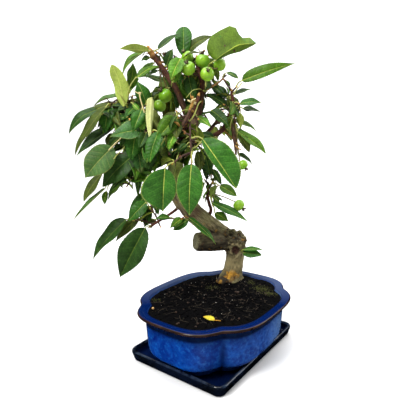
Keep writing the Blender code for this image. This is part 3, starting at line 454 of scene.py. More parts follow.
# How many crumbs, chips of bark, chips on the burr's knob, fine roots and pale grains lie there
CRUMBS = 1500
CHIPS = 90
KNOB_CHIPS = 22
FINE_ROOTS = 170
GRAINS = 26
# Patches of moss, in metres: middle, spread and tufts
MOSS = ((0.0582, -0.0343, 0.011, 260), (0.0486, -0.0507, 0.008, 150), (0.0234, 0.0210, 0.009, 90),
        (0.070, -0.012, 0.007, 60), (-0.050, 0.056, 0.006, 40))
# The fallen leaf on the soil, in metres: foot and tip of its blade, and end of its stalk
FALLEN = ((-0.0558, -0.0355), (-0.0557, -0.0186), (-0.0527, -0.0419))

# Leaf stalk radii, and how single listed leaves differ from the rest of their mass
PETIOLES = {"large": 0.9, "usual": 0.7, "small": 0.5}
MOTTLES = {"pale": 0.45, "milky": 0.25, "torn": 0.8, "sage": 0.8}
MANNERS = {
    ("crown_left", 0): {"width": 1.0, "bend": -0.12, "blunt": 0.8, "curl": 0.1, "roll": -0.3,
                        "wave": 0.3, "base": 0.62},
    ("crown_left", 3): {"curl": 0.25, "blunt": 0.8, "twist": 0.0, "bend": 0.0},
    ("crown_top_left", 2): {"curl": 0.0, "bend": 0.0, "twist": 0.0, "wave": 0.03},
    ("crown_front_left", 1): {"width": 0.62, "blunt": 0.75, "fold": 0.35, "curl": -0.1, "twist": 0.0,
                              "base": 0.16, "wave": 0.05},
    ("crown_front", 1): {"lean": -0.28, "bend": 0.05, "blunt": 1.25},
    ("crown_front", 2): {"width": 0.70, "lean": 0.5, "bend": 0.02, "fold": 0.2, "roll": 0.2,
                         "blunt": 0.9},
    ("crown_drop", 0): {"fold": 0.5},
    ("crown_drop", 6): {"fold": 0.45, "twist": 0.0, "curl": 0.05, "bend": 0.0},
    ("crown_low_left", 3): {"curl": 0.05, "bend": 0.0, "twist": 0.0},
    ("crown_top", 1): {"base": 0.6, "blunt": 0.75, "twist": 0.0, "bend": 0.0},
    ("crown_right", 0): {"width": 1.05, "lean": 0.22, "fold": 0.12, "curl": 0.12, "roll": 0.3,
                         "twist": 0.0, "base": 0.4, "blunt": 1.15, "bend": 0.0},
    ("crown_top_left", 0): {"curl": 0.05, "bend": 0.0, "fold": 0.5, "wave": 0.05, "twist": 0.0},
    ("crown_top_left", 1): {"width": 0.85, "curl": 0.6, "bend": 0.05, "twist": 0.0},
}


def unit(value):
    """The value, held between 0 and 1."""
    return min(1.0, max(0.0, value))


def linear(colour):
    """A colour of 0 to 255 as the shader's own numbers."""
    parts = [c / 255 for c in colour]
    return (*[c / 12.92 if c <= 0.04045 else ((c + 0.055) / 1.055) ** 2.4 for c in parts], 1)


class Finish:
    """A material, wired node by node."""

    def __init__(self, name, colour, roughness, **sockets):
        self.material = bpy.data.materials.new(name)
        self.material.use_nodes = True
        self.tree = self.material.node_tree
        self.shader = self.tree.nodes["Principled BSDF"]
        self.shader.inputs["Base Color"].default_value = linear(colour)
        self.shader.inputs["Roughness"].default_value = roughness
        for socket, value in sockets.items():
            self.shader.inputs[socket.replace("_", " ")].default_value = value
        self.material.diffuse_color = linear(colour)

    def node(self, kind, out, settings=None, **inputs):
        """A new node's output. Each input is a value or another node's output."""
        node = self.tree.nodes.new("ShaderNode" + kind)
        for name, value in (settings or {}).items():
            setattr(node, name, value)
        for name, value in inputs.items():
            name = name.replace("_", " ")
            socket = node.inputs[int(name[1:]) if name[0] == "i" and name[1:].isdigit() else name]
            if isinstance(value, bpy.types.NodeSocket):
                self.tree.links.new(value, socket)
            else:
                socket.default_value = value
        return node.outputs[out]

    def place(self, stretch=(1, 1, 1)):
        """The object's own coordinates, drawn out by a stretch."""
        here = self.node("TexCoord", "Object")
        return self.node("Mapping", "Vector", Vector=here, Scale=stretch)

    def noise(self, scale, detail=3.0, rough=0.55, where=None, distortion=0.0):
        where = where or self.place()
        return self.node("TexNoise", "Fac", Vector=where, Scale=scale, Detail=detail,
                         Roughness=rough, Distortion=distortion)

    def steps(self, value, low, high):
        """The value spread from 0 at low to 1 at high."""
        return self.node("MapRange", "Result", i0=value, i1=low, i2=high)

    def attribute(self, name):
        return self.node("Attribute", "Fac", {"attribute_name": name})

    def mix(self, share, one, other):
        """One colour turning to another by a share. Each is of 0 to 255 or an output."""
        ends = [c if isinstance(c, bpy.types.NodeSocket) else linear(c) for c in (one, other)]
        return self.node("Mix", 2, {"data_type": "RGBA"}, i0=share, i6=ends[0], i7=ends[1])

    def dab(self, body, value, low, high, share, colour):
        """The body with a colour over it: none at the value low, and by the share at high."""
        return self.mix(self.times(self.steps(value, low, high), share), body, colour)

    def marked(self, body, **colours):
        """The body with a colour over it wherever the mark of its name is set."""
        for name, colour in colours.items():
            body = self.mix(self.attribute(name), body, colour)
        return body

    def times(self, one, other):
        return self.node("Math", 0, {"operation": "MULTIPLY"}, i0=one, i1=other)

    def paint(self, colour):
        self.tree.links.new(colour, self.shader.inputs["Base Color"])

    def gloss(self, value, low, high):
        """Roughness that runs from low to high with a value of 0 to 1."""
        spread = self.node("MapRange", "Result", i0=value, i3=low, i4=high)
        self.tree.links.new(spread, self.shader.inputs["Roughness"])

    def bump(self, height, strength, distance):
        normal = self.node("Bump", "Normal", Height=height, Strength=strength, Distance=distance)
        self.tree.links.new(normal, self.shader.inputs["Normal"])


def blue_glaze():
    """Cobalt glaze that runs pale and cloudy down the wall, partly as painted reflection towards the far
    end of the long side, and breaks to brown at the rim's edge.
    """
    finish = Finish("cobalt_glaze", (6, 48, 116), 0.1, Specular_IOR_Level=0.22)
    runs = finish.noise(14, 5, 0.65, finish.place((2.4, 2.4, 1)), 0.8)
    clouds = finish.noise(34, 5, 0.65, finish.place((1, 1, 0.8)), 1.2)
    specks = finish.noise(230, 3, 0.65)
    body = finish.mix(finish.steps(clouds, 0.36, 0.66), (2, 32, 108), (2, 66, 152))
    body = finish.dab(body, specks, 0.52, 0.66, 0.4, (16, 90, 164))
    # Pale cloudy runs down the long sides: partly the glaze's own, partly painted reflection, stronger
    # towards the far end.
    milk = finish.attribute("milk")
    body = finish.dab(body, runs, 0.1, 0.56, milk, (96, 128, 168))
    body = finish.dab(body, specks, 0.54, 0.66, finish.times(milk, 0.22), (150, 172, 196))
    body = finish.dab(body, specks, 0.46, 0.34, 0.4, (2, 18, 70))
    worn = finish.mix(finish.steps(finish.noise(60, 3), 0.3, 0.7), (14, 12, 15), (54, 36, 30))
    # Painted on the glaze here: shade in the notch between the lobes, where the glaze also gathers thick;
    # shade in a dark strip under the rim; and a grey-lilac reflection on one side of the rim.
    finish.paint(finish.marked(body, pool=(1, 14, 60), band=(1, 8, 28), lip=(2, 24, 74),
                               veil=(84, 98, 128), edge=worn, spot=(4, 5, 10)))
    finish.gloss(clouds, 0.10, 0.22)
    finish.bump(finish.noise(60, 3), 0.12, 0.0012)
    return finish.material


def dark_glaze():
    """Near-black blue glaze, grey-blue on its edges: worn there, and with painted highlight along the rim's
    top and at the foot.
    """
    finish = Finish("dark_glaze", (5, 8, 18), 0.12, Specular_IOR_Level=0.3)
    clouds = finish.noise(26, 4)
    body = finish.mix(finish.steps(clouds, 0.4, 0.75), (8, 11, 16), (10, 20, 42))
    # Painted reflection: a blue over the floor inside the tray.
    body = finish.marked(body, inside=(5, 20, 58))
    # Grey-blue on the rim's top and at the foot: partly wear, partly painted highlight.
    worn = finish.attribute("edge")
    finish.paint(finish.dab(body, finish.noise(90, 4), 0.38, 0.6, worn, (46, 58, 76)))
    finish.gloss(clouds, 0.08, 0.2)
    finish.bump(finish.noise(70, 3), 0.1, 0.001)
    return finish.material


def soil_finish():
    finish = Finish("potting_soil", (8, 7, 7), 0.95, Specular_IOR_Level=0.05)
    grain = finish.noise(260, 6, 0.7)
    lumps = finish.noise(55, 4)
    body = finish.mix(finish.steps(grain, 0.35, 0.7), (2, 2, 3), (9, 8, 9))
    finish.paint(finish.dab(body, lumps, 0.5, 0.75, 0.5, (10, 10, 9)))
    finish.bump(grain, 0.9, 0.0012)
    return finish.material


def speckled(name, colour, other, roughness, scale=300):
    """A matt finish that turns from one colour to another in fine grain."""
    finish = Finish(name, colour, roughness)
    grain = finish.noise(scale, 4, 0.6)
    finish.paint(finish.mix(finish.steps(grain, 0.3, 0.7), colour, other))
    finish.bump(grain, 0.4, 0.0004)
    return finish.material


def shaded(colour, factor):
    return tuple(min(255, c * factor) for c in colour)


def leaf_finish(name, colour, roughness, mottle=1.0):
    """One face of the blades: faint cells and mottling in a single green."""
    finish = Finish(name, colour, roughness + 0.05, Specular_IOR_Level=0.15)
    clouds = finish.steps(finish.noise(80, 3), 0.3, 0.7)
    cells = finish.steps(finish.noise(620, 2), 0.35, 0.65)
    pale = finish.mix(cells, shaded(colour, 1 - 0.06 * mottle), shaded(colour, 1 + 0.2 * mottle))
    deep = finish.mix(cells, shaded(colour, 1 - 0.32 * mottle), shaded(colour, 1 - 0.08 * mottle))
    finish.paint(finish.mix(clouds, deep, pale))
    finish.bump(finish.noise(1100, 3), 0.3, 0.0003)
    return finish.material


def bark_finish():
    """Grey-brown bark drawn in streaks along the limb, redder on the young wood."""
    finish = Finish("bark", (104, 92, 66), 0.8, Specular_IOR_Level=0.3)
    grain = finish.node("Attribute", "Vector", {"attribute_name": "grain"})
    along = finish.node("Mapping", "Vector", Vector=grain, Scale=(0.9, 0.9, 0.12))
    streaks = finish.noise(1.0, 6, 0.65, along)
    patches = finish.noise(38, 4, 0.6)
    fine = finish.noise(5.0, 3, 0.6, along)
    old = finish.mix(finish.steps(streaks, 0.36, 0.62), (50, 42, 28), (150, 138, 98))
    old = finish.dab(old, patches, 0.48, 0.68, 0.5, (96, 98, 56))
    rosy = finish.attribute("rosy")
    old = finish.dab(old, finish.noise(24, 4, 0.6), 0.5, 0.66, rosy, (72, 46, 36))
    young = finish.mix(finish.steps(streaks, 0.35, 0.65), (34, 15, 11), (98, 54, 36))
    wood = finish.marked(young, age=old)
    wood = finish.dab(wood, fine, 0.52, 0.7, 0.4, (58, 44, 32))
    # Painted highlight: paler on the bark's ridges.
    wood = finish.mix(finish.times(finish.attribute("raised"), 0.6), wood, (166, 156, 116))
    # Dark bark on the stub, the burr and the root knob, with painted shade under the stub.
    wood = finish.marked(wood, stain=(40, 32, 24))
    # Painted shade: near-black in the bark's hollows.
    wood = finish.mix(finish.times(finish.attribute("hollow"), 0.85), wood, (26, 21, 15))
    grit = finish.noise(150, 4, 0.6)
    rust = finish.mix(finish.steps(grit, 0.42, 0.54), (84, 46, 20), (190, 140, 46))
    rust = finish.mix(finish.steps(patches, 0.64, 0.5), (66, 42, 24), rust)
    cut = finish.mix(finish.steps(fine, 0.4, 0.6), (70, 66, 46), (118, 114, 82))
    finish.paint(finish.marked(wood, ochre=rust, pale=(152, 138, 96), dark=(70, 44, 32), cut=cut,
                               tan=(148, 106, 52)))
    finish.bump(fine, 0.5, 0.0004)
    return finish.material


def fruit_finish():
    """Green skin with pale specks, mottled in paler and deeper green."""
    finish = Finish("fruit_skin", (128, 176, 36), 0.3, Specular_IOR_Level=0.5,
                    Subsurface_Weight=0.12, Subsurface_Scale=0.004)
    clouds = finish.noise(70, 3)
    skin = finish.mix(finish.steps(clouds, 0.3, 0.7), (98, 152, 22), (146, 190, 48))
    dots = finish.node("TexVoronoi", "Distance", Vector=finish.place(), Scale=620.0)
    finish.paint(finish.dab(skin, dots, 0.28, 0.12, 0.5, (184, 206, 104)))
    finish.gloss(clouds, 0.24, 0.4)
    finish.bump(finish.noise(240, 2), 0.05, 0.0005)
    return finish.material


def lay_ring(obj, ring):
    """Puts the selected points of the mesh being edited on a ring."""
    mesh = bmesh.from_edit_mesh(obj.data)
    mesh.verts.index_update()
    chosen = sorted((v for v in mesh.verts if v.select), key=lambda v: v.index)
    for vert, place in zip(chosen, ring):
        vert.co = place
    bmesh.update_edit_mesh(obj.data)


def thrown(name, rings):
    """A closed piece drawn up ring by ring, as clay is on a wheel."""
    bpy.ops.object.select_all(action="DESELECT")
    bpy.ops.mesh.primitive_circle_add(vertices=len(rings[0]), radius=0.1, fill_type="NGON")
    obj = bpy.context.object
    obj.name = obj.data.name = name
    bpy.ops.object.mode_set(mode="EDIT")
    bpy.ops.mesh.select_all(action="SELECT")
    lay_ring(obj, rings[0])
    for ring in rings[1:]:
        bpy.ops.mesh.extrude_region_move()
        lay_ring(obj, ring)
    bpy.ops.mesh.select_all(action="SELECT")
    bpy.ops.mesh.normals_make_consistent(inside=False)
    bpy.ops.object.mode_set(mode="OBJECT")
    bpy.ops.object.shade_smooth_by_angle(angle=math.radians(50))
    return obj


def mark(obj, name, values):
    """Keeps a number for each point of the piece, for its finish to read."""
    layer = obj.data.attributes.new(name, "FLOAT", "POINT")
    layer.data.foreach_set("value", np.asarray(values, np.float32))


def dress(obj, material, node):
    """Gives the piece its finish and its body, and hides the solid that it stands for."""
    obj.data.materials.clear()
    obj.data.materials.append(material)
    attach(obj, "root")
    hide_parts(node)


def lobe_reaches(inset, points=POT_POINTS):
    """How far each of the two squarish ovals of the outline reaches, all the way round."""
    turns = [math.tau * (i + 0.5) / points for i in range(points)]
    return [
        [((abs(math.cos(t)) / (a - inset)) ** LOBE_SQUARENESS
          + (abs(math.sin(t)) / (b - inset)) ** LOBE_SQUARENESS) ** (-1 / LOBE_SQUARENESS)
         for a, b in (LONG_LOBE, SHORT_LOBE)]
        for t in turns
    ]


def lobed_ring(inset, height, points=POT_POINTS):
    """The pot's outline, two squarish ovals laid across each other, drawn in by an inset."""
    ring = []
    for i, reaches in enumerate(lobe_reaches(inset, points)):
        angle = math.tau * (i + 0.5) / points
        reach = sum(r**LOBE_BLEND for r in reaches) ** (1 / LOBE_BLEND)
        reach = min(reach, max(reaches) + 0.0008)
        ring.append(Vector((reach * math.cos(angle), reach * math.sin(angle), height)))
    return ring


def pot_wall(height):
    """Inset of the pot's outer wall at a height, which draws in towards the foot."""
    drop = (BODY_TOP - height) / (BODY_TOP - BODY_BOTTOM)
    return 0.0078 + 0.0028 * drop + 0.0066 * drop**12


def pot_inside(height):
    return pot_wall(height) + 0.0046


def arc(centre, radius, start, stop, steps):
    """Points of a profile on an arc: inset and height, with 0 degrees towards the middle."""
    turns = [math.radians(start + (stop - start) * k / steps) for k in range(steps + 1)]
    return [(centre[0] + radius * math.cos(t), centre[1] + radius * math.sin(t)) for t in turns]


def pot_profile():
    """Inset and height of each ring, from under the foot, over the rim and down to the floor."""
    foot = TRAY_FLOOR + GAP * MM
    inner = FOOT_INSET + FOOT_WIDTH
    under = RIM_TOP - RIM_THICKNESS
    half = RIM_THICKNESS / 2
    walls = [BODY_BOTTOM + (BODY_TOP - BODY_BOTTOM) * share for share in WALL_SHARES]
    profile = [(inner, foot + 0.0042), (inner, foot + 0.0006), (inner - 0.0006, foot)]
    profile += [(FOOT_INSET + 0.0008, foot), (FOOT_INSET, foot + 0.0008)]
    profile += [(FOOT_INSET - 0.0008, BODY_BOTTOM - 0.0014), (FOOT_INSET - 0.0018, BODY_BOTTOM - 0.0003)]
    profile += [(pot_wall(h), h) for h in walls]
    profile += [(0.0064, BODY_TOP + 0.0014), (0.0046, under - 0.0004), (0.0030, under)]
    profile += arc((half, RIM_TOP - half), half, 270, 90, 8)
    profile += [(0.0036, RIM_TOP - 0.0002), (0.0062, RIM_TOP - 0.0003)]
    profile += arc((RIM_WIDTH - 0.0012, RIM_TOP - 0.0013), 0.0012, 90, 0, 4)
    profile += [(pot_inside(h), h) for h in reversed(INSIDE_HEIGHTS)]
    return profile + [(pot_inside(INSIDE_HEIGHTS[0]) + 0.004, POT_FLOOR)]


def glaze_marks(profile):
    """Where the glaze runs pale and cloudy, pools and is worn, and where shade and reflection are painted
    on it, for every point of the rings.
    """
    insets = np.repeat([i for i, _ in profile], POT_POINTS)
    heights = np.repeat([h for _, h in profile], POT_POINTS)
    angles = np.tile([math.tau * (i + 0.5) / POT_POINTS for i in range(POT_POINTS)], len(profile))
    under = RIM_TOP - RIM_THICKNESS
    rim = heights > under - 0.0006
    # Painted shade: a ramp that darkens the top of the wall, under the rim.
    below = np.clip((heights - BODY_TOP + 0.0105) / 0.0034, 0, 1) * (insets < 0.012)
    around = np.array([p.xy for inset, _ in profile for p in lobed_ring(inset, 0)])
    off_chip = np.hypot(*(around - CHIP[:2]).T) / CHIP[2]
    beside_rim = (heights > BODY_TOP - 0.001) * (heights < RIM_TOP - 0.001)
    long_side = np.clip(np.abs(np.sin(angles)) * 1.6 - 0.75, 0, 1)
    corner = np.exp(-((np.abs(np.sin(angles)) - 0.45) / 0.12) ** 2) * 0.55
    # Painted reflection: the pale runs grow towards the far end of the long side.
    far = np.clip(0.3 + 1.4 * np.cos(angles), 0.22, 1.35)
    # Painted reflection: a grey-lilac over the rim's top on one side, strongest at 35 degrees round.
    turned = 0.5 - 0.5 * np.cos(angles - math.radians(215))
    # Darker blue in the notch between the lobes, more so towards the foot: the glaze gathers thick there,
    # and painted shade of the notch.
    apart = np.array([abs(a - b) for a, b in lobe_reaches(0)])
    notch = np.tile(np.exp(-((apart / 0.0035) ** 2)), len(profile))
    low = np.clip((0.052 - heights) / 0.02, 0, 1) * 0.5 + 0.35
    return {
        "edge": rim & (insets < 0.0018) & (heights < RIM_TOP + 0.0001),
        "lip": rim & (insets > 0.0016) & (heights > RIM_TOP - 0.0012),
        # Painted shade under the rim.
        "band": below * (heights < under + 0.0002) * 0.9,
        "spot": np.clip(1.6 - off_chip, 0, 1) * beside_rim,
        "milk": np.maximum(long_side * far, corner * 0.2) * 0.9 * (insets > 0.0062),
        # Painted reflection on one side of the rim.
        "veil": np.clip(turned * 1.5 - 0.5, 0, 0.55) * rim * (insets > 0.0014),
        # Glaze gathered in the notch, with painted shade there.
        "pool": notch * low * (heights < BODY_TOP),
    }


def make_pot():
    profile = pot_profile()
    pot = thrown("glazed_pot", [lobed_ring(i, h) for i, h in profile])
    for name, values in glaze_marks(profile).items():
        mark(pot, name, values)
    dress(pot, blue_glaze(), "pot")


def rounded_ring(inset, height):
    """The tray's outline: a rectangle with round corners."""
    half_x, half_y = TRAY_SIZE[0] / 2 - inset, TRAY_SIZE[1] / 2 - inset
    radius = max(TRAY_CORNER - inset, 0.003)
    ring = []
    for turn, (sx, sy) in enumerate(((1, 1), (-1, 1), (-1, -1), (1, -1))):
        for k in range(TRAY_CORNER_POINTS):
            angle = math.pi / 2 * (turn + k / (TRAY_CORNER_POINTS - 1))
            x = sx * (half_x - radius) + radius * math.cos(angle)
            y = sy * (half_y - radius) + radius * math.sin(angle)
            ring.append(Vector((x, y, height)))
    return ring


def make_tray():
    top, wall, floor = TRAY_HEIGHT, TRAY_WALL, TRAY_FLOOR
    profile = [(TRAY_FLARE + i, h) for i, h in ((0.0030, 0), (0.0016, 0.0002), (0.0006, 0.0010))]
    profile += [(TRAY_FLARE - 0.0004, 0.0026), (0.0012, top - 0.0062), (0.0004, top - 0.0042)]
    profile += arc((0.0024, top - 0.0024), 0.0024, 180, 90, 6)
    profile += [(wall - 0.0012, top - 0.0004), (wall - 0.0004, top - 0.0012)]
    profile += [(wall + 0.0001, top - 0.0026), (wall + TRAY_FLARE - 0.0010, floor + 0.0020)]
    profile += [(wall + TRAY_FLARE - 0.0004, floor + 0.0007), (wall + TRAY_FLARE + 0.0008, floor)]
    tray = thrown("glazed_tray", [rounded_ring(i, h) for i, h in profile])
    insets = np.repeat([i for i, _ in profile], 4 * TRAY_CORNER_POINTS)
    heights = np.repeat([h for _, h in profile], 4 * TRAY_CORNER_POINTS)
    # The rim's top, which with the foot takes a grey-blue: partly wear, partly painted highlight.
    lip = (heights > top - 0.0016) & (insets < wall)
    # The floor inside the tray, which takes a blue as painted reflection.
    mark(tray, "inside", (insets > wall + TRAY_FLARE - 0.0012) * (heights < floor + 0.0021) * 0.8)
    mark(tray, "edge", lip * 0.75 + (heights < 0.001) * 0.4)
    dress(tray, dark_glaze(), "drip_tray")


def soil_height(x, y):
    """The lie of the soil: low at the wall, with hollows and crumbs."""
    here = Vector((x, y, 0))
    reach = min(1.0, max(abs(x) / 0.088, abs(y) / 0.070))
    firm = 1 - 0.5 * reach**6
    swell = noise.noise(here * 28) * 0.0014
    crumbs = abs(noise.noise(here * 150)) * 0.0024 + noise.noise(here * 420) * 0.0007
    towards_foot = math.exp(-((x - FOOT[0]) ** 2 + (y - FOOT[1]) ** 2) / 0.0009) * 0.0018
    return SOIL_TOP - 0.0010 - 0.0012 * reach**6 + swell + crumbs * firm + towards_foot


def on_soil(x, y, lift):
    return Vector((x, y, soil_height(x, y) + lift))


def make_soil():
    profile = [(pot_inside(INSIDE_HEIGHTS[0]) + 0.0045, POT_FLOOR + GAP * MM)]
    profile += [(pot_inside(h) + 0.0004, h + GAP * MM) for h in INSIDE_HEIGHTS]
    rings = [lobed_ring(i, h) for i, h in profile]
    border = lobed_ring(RIM_WIDTH + 0.0006, SOIL_TOP)
    for row in range(SOIL_ROWS):
        share = 1 - row / SOIL_ROWS
        rings.append([on_soil(p.x * share, p.y * share, 0) for p in border])
    dress(thrown("soil_bed", rings), soil_finish(), "soil")


def loft(rings):
    """A closed body through rings of the same number of points, anticlockwise from above."""
    count = len(rings[0])
    points = [p for ring in rings for p in ring]
    faces = [tuple(reversed(range(count)))]
    for k in range(len(rings) - 1):
        low, high = k * count, (k + 1) * count
        for i in range(count):
            j = (i + 1) % count
            faces.append((low + i, low + j, high + j, high + i))
    faces.append(tuple(range((len(rings) - 1) * count, len(rings) * count)))
    return points, faces


def smooth_line(points, steps):
    """A smooth line through its points, each a Vector of three places or with a radius too."""
    points = [Vector(p) for p in points]
    line = []
    for k in range(len(points) - 1):
        a, b = points[k], points[k + 1]
        before = points[k - 1] if k else a * 2 - b
        after = points[k + 2] if k + 2 < len(points) else b * 2 - a
        for s in range(steps):
            t = s / steps
            line.append(
                0.5 * ((2 * a) + (b - before) * t + (2 * before - 5 * a + 4 * b - after) * t**2
                       + (3 * a - before - 3 * b + after) * t**3)
            )
    return line + [points[-1]]


def directions(line):
    last = len(line) - 1
    return [(line[min(i + 1, last)] - line[max(i - 1, 0)]).normalized() for i in range(last + 1)]


def tube(line, radii, sides, shape=None, ends=(None, None)):
    """A closed limb along a line. The shape gives a factor on the radius by angle and place,
    and the ends give the facing of the first and the last cut."""
    ways = directions(line)
    ways[0] = ends[0] or ways[0]
    ways[-1] = ends[1] or ways[-1]
    side = ways[0].orthogonal().normalized()
    rings = []
    for k, (centre, way) in enumerate(zip(line, ways)):
        side = (side - way * side.dot(way)).normalized()
        up = way.cross(side)
        ring = []
        for i in range(sides):
            angle = 2 * math.pi * i / sides
            reach = radii[k] * (shape(angle, centre) if shape else 1)
            ring.append(centre + side * reach * math.cos(angle) + up * reach * math.sin(angle))
        rings.append(ring)
    return loft(rings)


def bough_room(line, radii, way):
    """The tube of a bough that ends square to a way, with clear room around it."""
    line = line[:-1] + [line[-1] + way * CLEAR]
    return tube(line, [r + CLEAR for r in radii], BOUGH_SIDES, None, (None, way))


def tapered(line, first, last):
    """Radii that fall evenly along a line."""
    return [first + (last - first) * k / (len(line) - 1) for k in range(len(line))]


def flare(angle, centre):
    """How much wider the trunk is where it spreads into its roots."""
    low = max(0.0, 1 - (centre.z - GROUND) / FLARE_HEIGHT)
    return 1 + low**2 * (0.14 + 0.16 * math.cos(FLARE_LOBES * angle + 0.6))


def above_soil(line, lift=GROUND):
    """A line of right, away, up above the soil and radius, lifted to its height."""
    return [Vector((right, away, up + lift, radius)) for right, away, up, radius in line]


def trunk_room():
    """The trunk, the cut stub and the burr, with clear room around each."""
    line = smooth_line(above_soil(TRUNK_LINE, GROUND + GAP), 2)
    places = [p.xyz for p in line]
    places[-1] += (places[-1] - places[-2]).normalized() * CLEAR
    stub = above_soil(STUB_LINE)
    return [tube(places, [p.w + CLEAR for p in line], TRUNK_SIDES, flare),
            tube([p.xyz for p in stub], [p.w + CLEAR for p in stub], TRUNK_SIDES), burr_room()]


def outwards(angle, lift):
    """The way out from a middle, at an angle round it and a lift above it."""
    return Vector((math.cos(angle) * math.cos(lift), math.sin(angle) * math.cos(lift),
                   math.sin(lift)))


def burr_room():
    """A lumpy ball on the bend of the trunk, with clear room around it."""
    (right, away, up), half = BURR
    points, faces = ball(Vector((0, 0, 0)), 1, BURR_ROWS, BURR_SIDES)
    placed = []
    for index, point in enumerate(points):
        row, turn = divmod(index, BURR_SIDES)
        angle = 2 * math.pi * turn / BURR_SIDES
        lump = 1 + 0.07 * math.sin(3 * angle + 2 * row) + 0.05 * math.cos(5 * angle - row)
        grown = Vector([p * (h + CLEAR) * lump for p, h in zip(point, half)])
        placed.append(Vector((right, away, up + GROUND)) + grown)
    return placed, faces


Solid = namedtuple("Solid", "tree centre radius")


def solid_of(shape):
    points, faces = shape
    centre = sum(points, Vector()) / len(points)
    radius = max((p - centre).length for p in points)
    return Solid(BVHTree.FromPolygons(points, faces), centre, radius)


def touches(solid, others):
    return any((other.centre - solid.centre).length <= other.radius + solid.radius
               and other.tree.overlap(solid.tree) for other in others)


def seen_from_front(point):
    """Where a point shows on the plane of the trunk, for an eye in front of the plant."""
    scale = -EYE.y / (point.y - EYE.y)
    return EYE.x + (point.x - EYE.x) * scale, EYE.z + (point.z - EYE.z) * scale


def in_space(point, space):
    right, up = seen_from_front(point)
    offset = (right - space.centre[0], point.y - space.centre[1], up - space.centre[2])
    return sum((o / h) ** 2 for o, h in zip(offset, space.half)) <= 1


def in_oval(right, up, oval):
    x, z, half_width, half_height = oval
    return ((right - x) / half_width) ** 2 + ((up - z) / half_height) ** 2 < 1


def in_sky(point):
    right, up = seen_from_front(point)
    return any(in_oval(right, up, oval) for oval in SKY)


Leaf = namedtuple("Leaf", "root foot tip normal width bow fine")


def blade_rings(leaf, outline, pad=0.0):
    """Cross sections of the blade, folded up along its rib and bowed from foot to tip."""
    along = leaf.tip - leaf.foot
    length = along.length
    way = along / length
    side = leaf.normal.cross(way).normalized()
    thick = LEAF_THICKNESS / 2 + pad
    rings = []
    for place, breadth in outline:
        middle = leaf.foot + along * place + leaf.normal * (leaf.bow * length * 4 * place * (1 - place))
        half = leaf.width * breadth + pad
        out = side * half * math.cos(LEAF_FOLD)
        lift = leaf.normal * half * math.sin(LEAF_FOLD)
        rings.append([middle - leaf.normal * thick, middle + out + lift,
                      middle + leaf.normal * thick, middle - out + lift])
    return rings


def pointed(rings, tip):
    """A body through four-point rings that closes in one point."""
    points, faces = loft(rings)
    faces.pop()
    last = len(points) - 4
    points.append(tip)
    for i in range(4):
        faces.append((last + i, last + (i + 1) % 4, last + 4))
    return points, faces


def blade(leaf, pad=0.0):
    return pointed(blade_rings(leaf, LEAD_OUTLINE, pad), leaf.tip)


def stalk_ring(leaf, centre, radius):
    way = (leaf.foot - leaf.root).normalized()
    side = leaf.normal.cross(way)
    if side.length < 0.1:
        side = way.orthogonal()
    side.normalize()
    over = way.cross(side)
    return [centre - over * radius, centre + side * radius, centre + over * radius,
            centre - side * radius]


def stalk(leaf, pad):
    """The stalk by itself, without the end that is sunk in the twig."""
    way = leaf.foot - leaf.root
    near = leaf.root + way * min(0.4, SUNK / max(way.length, 1))
    return loft([stalk_ring(leaf, near, STALK_RADIUS + pad),
                 stalk_ring(leaf, leaf.foot, STALK_RADIUS + pad)])


def slid(point, depth):
    """The point moved away from the eye in front, so that it still shows in the same place."""
    return EYE + (point - EYE) * ((point.y + depth - EYE.y) / (point.y - EYE.y))


def lead_leaf(lead, depth):
    """A leaf set by its heading as it shows from the front, moved back by a depth."""
    foot = Vector(lead.foot)
    flat = math.sqrt(lead.length**2 - lead.lean**2)
    aim = math.radians(lead.aim)
    along = Vector((flat * math.cos(aim), lead.lean, flat * math.sin(aim)))
    way = along.normalized()
    front = Vector((0, -1, 0))
    face = (front - way * front.dot(way)).normalized()
    normal = Matrix.Rotation(math.radians(lead.roll), 3, way) @ face
    return Leaf(None, slid(foot, depth), slid(foot + along, depth), normal, lead.width, lead.bow,
                True)


def side_of(way, turn):
    """A way square to another one, turned round it."""
    return Matrix.Rotation(turn, 3, way) @ way.orthogonal().normalized()


def line_length(line):
    return sum((b - a).length for a, b in zip(line, line[1:]))


def back_from_end(line, distance):
    """The point that lies a distance before a line's end, and the line's direction there."""
    for start, end in zip(reversed(line[:-1]), reversed(line[1:])):
        span = end - start
        if distance <= span.length:
            return end - span.normalized() * distance, span.normalized()
        distance -= span.length
    return None


